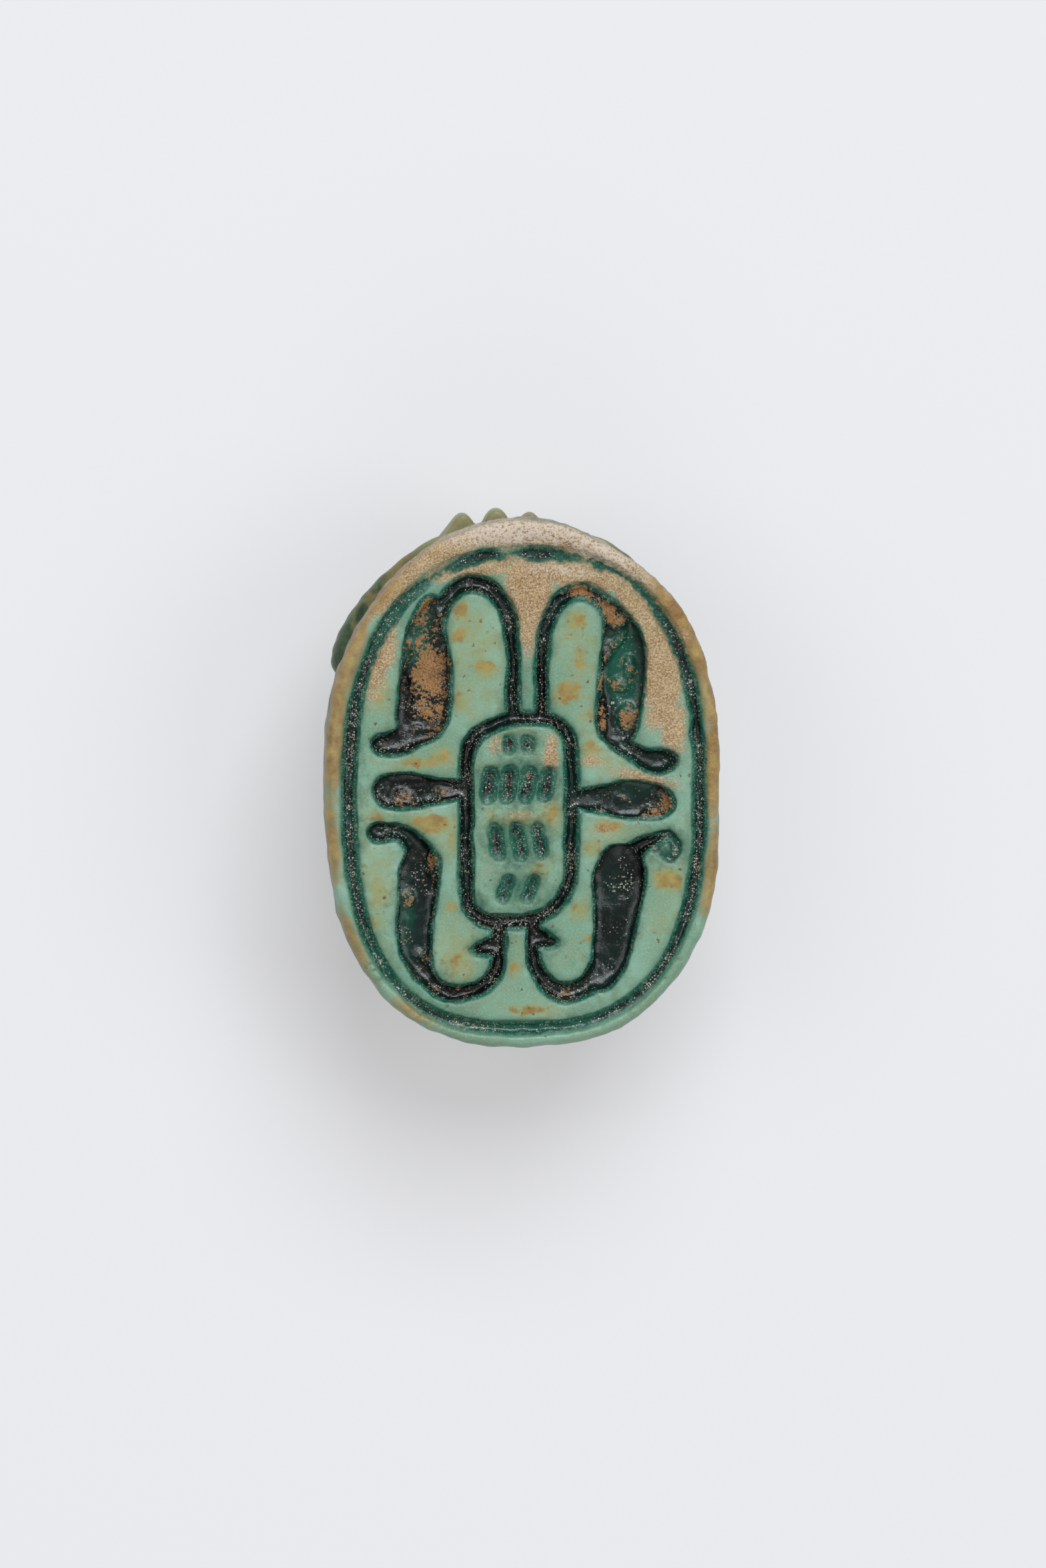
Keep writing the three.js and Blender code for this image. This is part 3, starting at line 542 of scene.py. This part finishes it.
# %% [markdown]
# ## Copper glaze on soapstone
#
# The glaze is an alkaline copper glaze, thin and glassy: pale blue-green where it is thin,
# saturated teal where it thickens along the edges of the cuts, and almost black where it
# pooled on their floors, with pale grains of quartz and salt caught in it. Iron from the stone
# bled through in ochre clouds and rusty specks. Where it wore off, matt tan stone shows. The
# material lays these over each other in the order in which they came about. Glassy glaze has
# an IOR near 1.5 and a low roughness, stone and soil are rough, so roughness follows the same
# masks.

# %% Start the glaze material
glaze = bpy.data.materials.new("worn_copper_glaze_on_steatite")
glaze.use_nodes = True
tree = glaze.node_tree
tree.nodes.clear()
place = add_node(tree, "ShaderNodeTexCoord").outputs["Object"]
MEASURED = ("cut_depth", "pooled", "beside_cut", "worn", "whitened", "soiled", "ochre", "rim_rubbed",
            "stained", "clear_in_cut", "wall", "below_plate", "on_head", "ridge")
measured = {name: add_node(tree, "ShaderNodeAttribute", attribute_name=name).outputs["Fac"]
            for name in MEASURED}

# %% [markdown]
# The patterns come first, since several layers share them: clouds of three millimetres, a
# mottle of half a millimetre, and grains of a tenth. Noise in Blender stays near 0.5, so each
# layer picks its own narrow range of it with a Map Range.

# %% Shared patterns
clouds = add_node(tree, "ShaderNodeTexNoise", {
    "Vector": place, "Scale": per_mm(3.0), "Detail": 3.0, "Roughness": 0.55}).outputs["Fac"]
mottle = add_node(tree, "ShaderNodeTexNoise", {
    "Vector": place, "Scale": per_mm(0.55), "Detail": 4.0, "Roughness": 0.65}).outputs["Fac"]
fine = add_node(tree, "ShaderNodeTexNoise", {
    "Vector": place, "Scale": per_mm(0.13), "Detail": 3.0, "Roughness": 0.7}).outputs["Fac"]
grit = add_node(tree, "ShaderNodeTexNoise", {
    "Vector": place, "Scale": per_mm(0.065), "Detail": 2.0, "Roughness": 0.7}).outputs["Fac"]
cloud_share = add_node(tree, "ShaderNodeMapRange", {
    "Value": clouds, "From Min": 0.38, "From Max": 0.62}).outputs[0]
mottle_share = add_node(tree, "ShaderNodeMapRange", {
    "Value": mottle, "From Min": 0.35, "From Max": 0.65}).outputs[0]
fine_share = add_node(tree, "ShaderNodeMapRange", {
    "Value": fine, "From Min": 0.32, "From Max": 0.68}).outputs[0]

# %% [markdown]
# The ground: two blue-greens in soft clouds, with a finer mottle of a duller green, and pale
# grains where the glaze is thin over the stone.

# %% Green ground
green = add_node(tree, "ShaderNodeMix", {
    "Factor": cloud_share, 6: srgb("759D81"), 7: srgb("8BB69F")}, data_type="RGBA")
dull = add_node(tree, "ShaderNodeMapRange", {
    "Value": mottle, "From Min": 0.42, "From Max": 0.64, "To Max": 0.75})
dulled = add_node(tree, "ShaderNodeMix", {
    "Factor": dull.outputs[0], 6: green.outputs[2], 7: srgb("84997A")}, data_type="RGBA")
thin_grains = add_node(tree, "ShaderNodeMapRange", {
    "Value": grit, "From Min": 0.46, "From Max": 0.68, "To Max": 0.45})
ground = add_node(tree, "ShaderNodeMix", {
    "Factor": thin_grains.outputs[0], 6: dulled.outputs[2], 7: srgb("A3C2A8")},
    data_type="RGBA")

# %% [markdown]
# Iron haze, blots and specks. The dabs say where iron came up. A weak dab gives a soft yellowish
# haze, a strong one whole ochre blots with ragged edges. Rust specks are the middles of Voronoi
# cells, a few of them chosen by each cell's random colour, and they gather where the haze is.

# %% Ochre haze and rust specks
blots = add_node(tree, "ShaderNodeTexNoise", {
    "Vector": place, "Scale": per_mm(0.32), "Detail": 3.0, "Roughness": 0.6}).outputs["Fac"]
haze_sum = add_node(tree, "ShaderNodeMath", {
    0: clouds, 1: 0.8, 2: measured["ochre"]}, operation="MULTIPLY_ADD")
haze_mottled = add_node(tree, "ShaderNodeMath", {
    0: mottle, 1: 0.8, 2: haze_sum.outputs[0]}, operation="MULTIPLY_ADD")
haze = add_node(tree, "ShaderNodeMapRange", {
    "Value": haze_mottled.outputs[0], "From Min": 0.95, "From Max": 1.7, "To Max": 0.85})
hazed = add_node(tree, "ShaderNodeMix", {
    "Factor": haze.outputs[0], 6: ground.outputs[2], 7: srgb("9A9E66")}, data_type="RGBA")
blot_sum = add_node(tree, "ShaderNodeMath", {
    0: blots, 1: 1.6, 2: measured["ochre"]}, operation="MULTIPLY_ADD")
blot_grainy = add_node(tree, "ShaderNodeMath", {
    0: fine, 1: 0.3, 2: blot_sum.outputs[0]}, operation="MULTIPLY_ADD")
blot_cover = add_node(tree, "ShaderNodeMapRange", {
    "Value": blot_grainy.outputs[0], "From Min": 1.52, "From Max": 1.78, "To Max": 0.8})
blot_colour = add_node(tree, "ShaderNodeMix", {
    "Factor": mottle_share, 6: srgb("94692F"), 7: srgb("AB9850")}, data_type="RGBA")
blotted = add_node(tree, "ShaderNodeMix", {
    "Factor": blot_cover.outputs[0], 6: hazed.outputs[2], 7: blot_colour.outputs[2]},
    data_type="RGBA")
rust_cells = add_node(tree, "ShaderNodeTexVoronoi", {
    "Vector": place, "Scale": per_mm(0.27), "Randomness": 1.0})
rust_draw = add_node(tree, "ShaderNodeSeparateColor", {"Color": rust_cells.outputs["Color"]})
rust_chance = add_node(tree, "ShaderNodeMath", {
    0: haze.outputs[0], 1: 0.35, 2: rust_draw.outputs["Green"]}, operation="MULTIPLY_ADD")
rust_pick = add_node(tree, "ShaderNodeMapRange", {
    "Value": rust_chance.outputs[0], "From Min": 0.78, "From Max": 0.88})
rust_edge = add_node(tree, "ShaderNodeMath", {
    0: fine, 1: 1.1, 2: rust_cells.outputs["Distance"]}, operation="MULTIPLY_ADD")
rust_shape = add_node(tree, "ShaderNodeMapRange", {
    "Value": rust_edge.outputs[0], "From Min": 0.62, "From Max": 0.78,
    "To Min": 0.85, "To Max": 0.0})
rust = add_node(tree, "ShaderNodeMath", {
    0: rust_shape.outputs[0], 1: rust_pick.outputs[0]}, operation="MULTIPLY")
rusted = add_node(tree, "ShaderNodeMix", {
    "Factor": rust.outputs[0], 6: blotted.outputs[2], 7: srgb("6C3F22")}, data_type="RGBA")

# %% [markdown]
# Worn stone: the dabs are broken up by the mottle and by grains, so that bare stone and glaze
# run into each other grain by grain. The stone is tan, with paler and browner grains, pinkish
# pits, and a whitened edge at the head.

# %% Worn stone
worn_sum = add_node(tree, "ShaderNodeMath", {
    0: mottle, 1: 0.55, 2: measured["worn"]}, operation="MULTIPLY_ADD")
worn_grainy = add_node(tree, "ShaderNodeMath", {
    0: fine, 1: 0.5, 2: worn_sum.outputs[0]}, operation="MULTIPLY_ADD")
worn_share = add_node(tree, "ShaderNodeMapRange", {
    "Value": worn_grainy.outputs[0], "From Min": 0.88, "From Max": 1.3},
    interpolation_type="SMOOTHSTEP").outputs[0]
tan = add_node(tree, "ShaderNodeMix", {
    "Factor": mottle_share, 6: srgb("9C794B"), 7: srgb("B4976B")}, data_type="RGBA")
tan_grains = add_node(tree, "ShaderNodeMapRange", {
    "Value": grit, "From Min": 0.46, "From Max": 0.66, "To Max": 0.75})
sandy = add_node(tree, "ShaderNodeMix", {
    "Factor": tan_grains.outputs[0], 6: tan.outputs[2], 7: srgb("DDCDB0")}, data_type="RGBA")
pit_grains = add_node(tree, "ShaderNodeMapRange", {
    "Value": grit, "From Min": 0.43, "From Max": 0.32, "To Max": 0.7})
pitted = add_node(tree, "ShaderNodeMix", {
    "Factor": pit_grains.outputs[0], 6: sandy.outputs[2], 7: srgb("74563A")},
    data_type="RGBA")
white_grains = add_node(tree, "ShaderNodeMath", {
    0: measured["whitened"], 1: fine_share}, operation="MULTIPLY")
white_cover = add_node(tree, "ShaderNodeMapRange", {
    "Value": white_grains.outputs[0], "From Min": 0.1, "From Max": 0.55, "To Max": 0.85})
stone = add_node(tree, "ShaderNodeMix", {
    "Factor": white_cover.outputs[0], 6: pitted.outputs[2], 7: srgb("D8CBBB")},
    data_type="RGBA")
bared = add_node(tree, "ShaderNodeMix", {
    "Factor": worn_share, 6: rusted.outputs[2], 7: stone.outputs[2]}, data_type="RGBA")

# %% [markdown]
# The plate's rim is rubbed brown and ochre in long patches, and its side wall to a whitish
# grey with thin dark streaks.

# %% Rim and side wall
rub_sum = add_node(tree, "ShaderNodeMath", {
    0: mottle, 1: 0.7, 2: measured["rim_rubbed"]}, operation="MULTIPLY_ADD")
rub_share = add_node(tree, "ShaderNodeMapRange", {
    "Value": rub_sum.outputs[0], "From Min": 0.62, "From Max": 1.15, "To Max": 0.9},
    interpolation_type="SMOOTHSTEP")
rub_colour = add_node(tree, "ShaderNodeMix", {
    "Factor": mottle_share, 6: srgb("8A6534"), 7: srgb("B39658")}, data_type="RGBA")
rubbed = add_node(tree, "ShaderNodeMix", {
    "Factor": rub_share.outputs[0], 6: bared.outputs[2], 7: rub_colour.outputs[2]},
    data_type="RGBA")
wall_colour = add_node(tree, "ShaderNodeMix", {
    "Factor": mottle_share, 6: srgb("77776A"), 7: srgb("A9A797")}, data_type="RGBA")
wall_worn = add_node(tree, "ShaderNodeMapRange", {
    "Value": clouds, "From Min": 0.4, "From Max": 0.52, "To Min": 0.95, "To Max": 0.45})
wall_share = add_node(tree, "ShaderNodeMath", {
    0: measured["wall"], 1: wall_worn.outputs[0]}, operation="MULTIPLY")
walled = add_node(tree, "ShaderNodeMix", {
    "Factor": wall_share.outputs[0], 6: rubbed.outputs[2], 7: wall_colour.outputs[2]},
    data_type="RGBA")

# %% [markdown]
# Below the plate the glaze is thicker and greener, with a painted highlight of lighter olive on the
# ridges and painted shade, nearly black, in the creases. The measured ridges tell the two apart.

# %% Legs, head and back
olive = add_node(tree, "ShaderNodeMix", {
    "Factor": mottle_share, 6: srgb("223A22"), 7: srgb("42603F")}, data_type="RGBA")
# Painted highlight: the ridges below the plate turn a lighter olive, as where light catches an edge.
painted_ridge_highlight = add_node(tree, "ShaderNodeMapRange", {
    "Value": measured["ridge"], "From Min": 0.008, "From Max": 0.06, "To Max": 0.65})
olive_ridge_highlighted = add_node(tree, "ShaderNodeMix", {
    "Factor": painted_ridge_highlight.outputs[0], 6: olive.outputs[2], 7: srgb("7E8660")},
    data_type="RGBA")
brown_sum = add_node(tree, "ShaderNodeMath", {
    0: clouds, 1: 1.2, 2: mottle}, operation="MULTIPLY_ADD")
olive_brown = add_node(tree, "ShaderNodeMapRange", {
    "Value": brown_sum.outputs[0], "From Min": 1.1, "From Max": 1.35, "To Max": 0.7})
head_cover = add_node(tree, "ShaderNodeMath", {
    0: measured["on_head"], 1: 0.75}, operation="MULTIPLY")
head_light = add_node(tree, "ShaderNodeMix", {
    "Factor": head_cover.outputs[0], 6: olive_ridge_highlighted.outputs[2], 7: srgb("939366")},
    data_type="RGBA")
olive_worn = add_node(tree, "ShaderNodeMix", {
    "Factor": olive_brown.outputs[0], 6: head_light.outputs[2], 7: srgb("8F7545")},
    data_type="RGBA")
# Painted shade: the creases below the plate are darkened to near black.
painted_crease_shade = add_node(tree, "ShaderNodeMapRange", {
    "Value": measured["ridge"], "From Min": -0.004, "From Max": -0.035, "To Max": 0.9})
olive_crease_shaded = add_node(tree, "ShaderNodeMix", {
    "Factor": painted_crease_shade.outputs[0], 6: olive_worn.outputs[2], 7: srgb("1C3428")},
    data_type="RGBA")
whole = add_node(tree, "ShaderNodeMix", {
    "Factor": measured["below_plate"], 6: walled.outputs[2], 7: olive_crease_shaded.outputs[2]},
    data_type="RGBA")

# %% [markdown]
# The glaze thickens beside the cuts and turns teal there, then nearly black on their floors.
# Both follow the measured depth, blurred grain by grain. A pale painted highlight lies on the raised
# edges beside the cuts, as if lit from the head side. A few floors stayed clear enough to show teal.

# %% Pooled glaze
halo_sum = add_node(tree, "ShaderNodeMath", {
    0: mottle, 1: 0.35, 2: measured["beside_cut"]}, operation="MULTIPLY_ADD")
halo = add_node(tree, "ShaderNodeMapRange", {
    "Value": halo_sum.outputs[0], "From Min": 0.26, "From Max": 0.74})
glazed_still = add_node(tree, "ShaderNodeMapRange", {
    "Value": worn_share, "From Min": 0.2, "From Max": 1.0, "To Min": 1.0, "To Max": 0.25})
halo_cover = add_node(tree, "ShaderNodeMath", {
    0: halo.outputs[0], 1: glazed_still.outputs[0]}, operation="MULTIPLY")
stain_sum = add_node(tree, "ShaderNodeMath", {
    0: blots, 1: 1.2, 2: measured["stained"]}, operation="MULTIPLY_ADD")
stain = add_node(tree, "ShaderNodeMapRange", {
    "Value": stain_sum.outputs[0], "From Min": 0.9, "From Max": 1.6, "To Max": 0.9})
stained = add_node(tree, "ShaderNodeMix", {
    "Factor": stain.outputs[0], 6: whole.outputs[2], 7: srgb("2F5443")}, data_type="RGBA")
teal = add_node(tree, "ShaderNodeMix", {
    "Factor": halo_cover.outputs[0], 6: stained.outputs[2], 7: srgb("1B6B55")},
    data_type="RGBA")
# Painted highlight: pale aqua on the raised edges beside the cuts, where light from the head side
# would catch them.
painted_edge_highlight = add_node(tree, "ShaderNodeMapRange", {
    "Value": measured["ridge"], "From Min": 0.012, "From Max": 0.04, "To Max": 0.25})
edge_highlight_cover = add_node(tree, "ShaderNodeMath", {
    0: painted_edge_highlight.outputs[0], 1: halo_cover.outputs[0]}, operation="MULTIPLY")
with_edge_highlight = add_node(tree, "ShaderNodeMix", {
    "Factor": edge_highlight_cover.outputs[0], 6: teal.outputs[2], 7: srgb("9CCBB9")},
    data_type="RGBA")
ragged_depth = add_node(tree, "ShaderNodeMath", {
    0: blots, 1: 0.8, 2: measured["pooled"]}, operation="MULTIPLY_ADD")
edge_grains = add_node(tree, "ShaderNodeMath", {
    0: fine, 1: 0.6, 2: ragged_depth.outputs[0]}, operation="MULTIPLY_ADD")
deep_share = add_node(tree, "ShaderNodeMapRange", {
    "Value": edge_grains.outputs[0], "From Min": 0.86, "From Max": 1.24},
    interpolation_type="SMOOTHSTEP").outputs[0]
deepened = add_node(tree, "ShaderNodeMix", {
    "Factor": deep_share, 6: with_edge_highlight.outputs[2], 7: srgb("0F5444")}, data_type="RGBA")
dark_share = add_node(tree, "ShaderNodeMapRange", {
    "Value": edge_grains.outputs[0], "From Min": 1.22, "From Max": 1.52},
    interpolation_type="SMOOTHSTEP").outputs[0]
clear_sum = add_node(tree, "ShaderNodeMath", {
    0: measured["clear_in_cut"], 1: mottle}, operation="ADD")
clear_share = add_node(tree, "ShaderNodeMapRange", {
    "Value": clear_sum.outputs[0], "From Min": 0.75, "From Max": 1.25, "To Max": 0.9})
pool = add_node(tree, "ShaderNodeMix", {
    "Factor": cloud_share, 6: srgb("090C0B"), 7: srgb("0F2822")}, data_type="RGBA")
pool_clear = add_node(tree, "ShaderNodeMix", {
    "Factor": clear_share.outputs[0], 6: pool.outputs[2], 7: srgb("175A47")},
    data_type="RGBA")
pooled = add_node(tree, "ShaderNodeMix", {
    "Factor": dark_share, 6: deepened.outputs[2], 7: pool_clear.outputs[2]},
    data_type="RGBA")

# %% [markdown]
# Grains of quartz and salt are caught in the dark glaze, thickest along the edges of the cuts
# and in drifts. They are a twentieth of a millimetre across, and a little coarser here so that
# they show. Each Voronoi cell draws its lot, and the drifts and the edges raise its chance.

# %% Caught grains
speck_cells = add_node(tree, "ShaderNodeTexVoronoi", {
    "Vector": place, "Scale": per_mm(0.062), "Randomness": 1.0})
speck_draw = add_node(tree, "ShaderNodeSeparateColor", {"Color": speck_cells.outputs["Color"]})
drifts = add_node(tree, "ShaderNodeTexNoise", {
    "Vector": place, "Scale": per_mm(0.8), "Detail": 2.0}).outputs["Fac"]
speck_chance = add_node(tree, "ShaderNodeMath", {
    0: drifts, 1: 1.8, 2: speck_draw.outputs["Red"]}, operation="MULTIPLY_ADD")
floor_edge = add_node(tree, "ShaderNodeMapRange", {
    "Value": measured["cut_depth"], "From Min": 0.15, "From Max": 0.5,
    "To Min": 0.25, "To Max": -0.3})
speck_raised = add_node(tree, "ShaderNodeMath", {
    0: speck_chance.outputs[0], 1: floor_edge.outputs[0]}, operation="ADD")
speck_pick = add_node(tree, "ShaderNodeMapRange", {
    "Value": speck_raised.outputs[0], "From Min": 1.5, "From Max": 1.8, "To Max": 0.9})
speck_round = add_node(tree, "ShaderNodeMapRange", {
    "Value": speck_cells.outputs["Distance"], "From Min": 0.35, "From Max": 0.55,
    "To Min": 1.0, "To Max": 0.0})
halo_grains = add_node(tree, "ShaderNodeMath", {
    0: halo_cover.outputs[0], 1: 0.45}, operation="MULTIPLY")
speck_where = add_node(tree, "ShaderNodeMath", {
    0: halo_grains.outputs[0], 1: dark_share}, operation="MAXIMUM")
speck_in_cut = add_node(tree, "ShaderNodeMath", {
    0: speck_pick.outputs[0], 1: speck_where.outputs[0]}, operation="MULTIPLY")
speck_cover = add_node(tree, "ShaderNodeMath", {
    0: speck_in_cut.outputs[0], 1: speck_round.outputs[0]}, operation="MULTIPLY")
speck_colour = add_node(tree, "ShaderNodeMix", {
    "Factor": speck_draw.outputs["Blue"], 6: srgb("86714F"), 7: srgb("CBD6CD")},
    data_type="RGBA")
speckled = add_node(tree, "ShaderNodeMix", {
    "Factor": speck_cover.outputs[0], 6: pooled.outputs[2], 7: speck_colour.outputs[2]},
    data_type="RGBA")

# %% [markdown]
# Last came the soil: dry, sandy and matt, in crumbs, broken through where the dark floor
# shows.

# %% Soil
soil_coarse = add_node(tree, "ShaderNodeMath", {
    0: mottle, 1: 1.8, 2: measured["soiled"]}, operation="MULTIPLY_ADD")
soil_sum = add_node(tree, "ShaderNodeMath", {
    0: fine, 1: 2.0, 2: soil_coarse.outputs[0]}, operation="MULTIPLY_ADD")
soil_share = add_node(tree, "ShaderNodeMapRange", {
    "Value": soil_sum.outputs[0], "From Min": 2.58, "From Max": 2.75}).outputs[0]
soil_dark = add_node(tree, "ShaderNodeMix", {
    "Factor": mottle_share, 6: srgb("6E4E31"), 7: srgb("9C7448")}, data_type="RGBA")
soil_colour = add_node(tree, "ShaderNodeMix", {
    "Factor": tan_grains.outputs[0], 6: soil_dark.outputs[2], 7: srgb("B98F62")},
    data_type="RGBA")
soil_pitted = add_node(tree, "ShaderNodeMix", {
    "Factor": pit_grains.outputs[0], 6: soil_colour.outputs[2], 7: srgb("33261B")},
    data_type="RGBA")
finished = add_node(tree, "ShaderNodeMix", {
    "Factor": soil_share, 6: speckled.outputs[2], 7: soil_pitted.outputs[2]},
    data_type="RGBA")

# %% [markdown]
# Gloss and the finest relief. Glassy glaze is smooth, bare stone and soil are rough. The bump
# has real sizes too: hairline relief in the glaze, sandy relief in stone and soil.

# %% Gloss, relief and the shader
glaze_roughness = add_node(tree, "ShaderNodeMapRange", {
    "Value": mottle, "From Min": 0.35, "From Max": 0.65, "To Min": 0.33, "To Max": 0.48})
pool_roughness = add_node(tree, "ShaderNodeMix", {
    "Factor": dark_share, 2: glaze_roughness.outputs[0], 3: 0.22}, data_type="FLOAT")
stone_roughness = add_node(tree, "ShaderNodeMix", {
    "Factor": worn_share, 2: pool_roughness.outputs[0], 3: 0.8}, data_type="FLOAT")
wall_roughness = add_node(tree, "ShaderNodeMix", {
    "Factor": measured["wall"], 2: stone_roughness.outputs[0], 3: 0.65}, data_type="FLOAT")
roughness = add_node(tree, "ShaderNodeMix", {
    "Factor": soil_share, 2: wall_roughness.outputs[0], 3: 0.95}, data_type="FLOAT")
sandiness = add_node(tree, "ShaderNodeMath", {
    0: worn_share, 1: soil_share, 2: 0.0}, operation="MAXIMUM")
bump_strength = add_node(tree, "ShaderNodeMapRange", {
    "Value": sandiness.outputs[0], "To Min": 0.3, "To Max": 1.0})
bump = add_node(tree, "ShaderNodeBump", {
    "Height": fine, "Strength": bump_strength.outputs[0], "Distance": 0.00006})
shader = add_node(tree, "ShaderNodeBsdfPrincipled", {
    "Base Color": finished.outputs[2], "Roughness": roughness.outputs[0],
    "Normal": bump.outputs[0], "IOR": 1.5})
add_node(tree, "ShaderNodeOutputMaterial", {"Surface": shader.outputs[0]})
skin.materials.clear()
skin.materials.append(glaze)
print("glaze material:", len(tree.nodes), "nodes")

# %% [markdown]
# ## Floor and light
#
# The stone lies on a plain pale sheet that glows a little, as on a light table, which keeps its
# shadow faint. A broad soft window stands at the head side, to the right, and three weaker
# screens stand round the rest. None of them is straight above, so the slopes of the cuts catch
# the light, and black glaze stays black, because it has almost nothing to mirror.

# %% Floor
floor_mesh = bmesh.new()
bmesh.ops.create_grid(floor_mesh, x_segments=1, y_segments=1, size=1.5)
floor_data = bpy.data.meshes.new("opal_sheet")
floor_mesh.to_mesh(floor_data)
floor_mesh.free()
floor = bpy.data.objects.new("opal_sheet", floor_data)
bpy.context.scene.collection.objects.link(floor)

opal = bpy.data.materials.new("lit_opal_acrylic")
opal.use_nodes = True
opal_shader = opal.node_tree.nodes["Principled BSDF"]
opal_shader.inputs["Base Color"].default_value = srgb("C3C3C4")
opal_shader.inputs["Roughness"].default_value = 0.95
opal_shader.inputs["Emission Color"].default_value = srgb("FDFDFF")
opal_shader.inputs["Emission Strength"].default_value = 0.32
floor_data.materials.append(opal)

# %% Lights


def soft_light(name, position, size, watts, colour):
    """A square area light at a position in metres, turned to the stone."""
    data = bpy.data.lights.new(name, "AREA")
    data.shape = "SQUARE"
    data.size = size
    data.energy = watts
    data.color = srgb(colour)[:3]
    lamp = bpy.data.objects.new(name, data)
    bpy.context.scene.collection.objects.link(lamp)
    lamp.location = position
    lamp.rotation_mode = "QUATERNION"
    lamp.rotation_quaternion = Vector(position).to_track_quat("Z", "Y")
    return lamp


soft_light("window_at_head", (0.13, 0.68, 0.85), 0.65, 8.3, "F6F9FF")
soft_light("screen_at_right", (0.7, 0.05, 0.85), 0.55, 2.0, "FFFFFF")
soft_light("screen_at_left", (-0.65, 0.2, 0.85), 0.6, 1.9, "FFFFFF")
soft_light("screen_at_tail", (0.0, -0.8, 0.8), 0.6, 1.0, "FFFFFF")
world = bpy.data.worlds.new("studio_air")
world.use_nodes = True
world.node_tree.nodes["Background"].inputs["Color"].default_value = srgb("FFFFFF")
world.node_tree.nodes["Background"].inputs["Strength"].default_value = 0.2
bpy.context.scene.world = world
bpy.context.scene.view_settings.view_transform = "Standard"
bpy.context.scene.view_settings.look = "None"
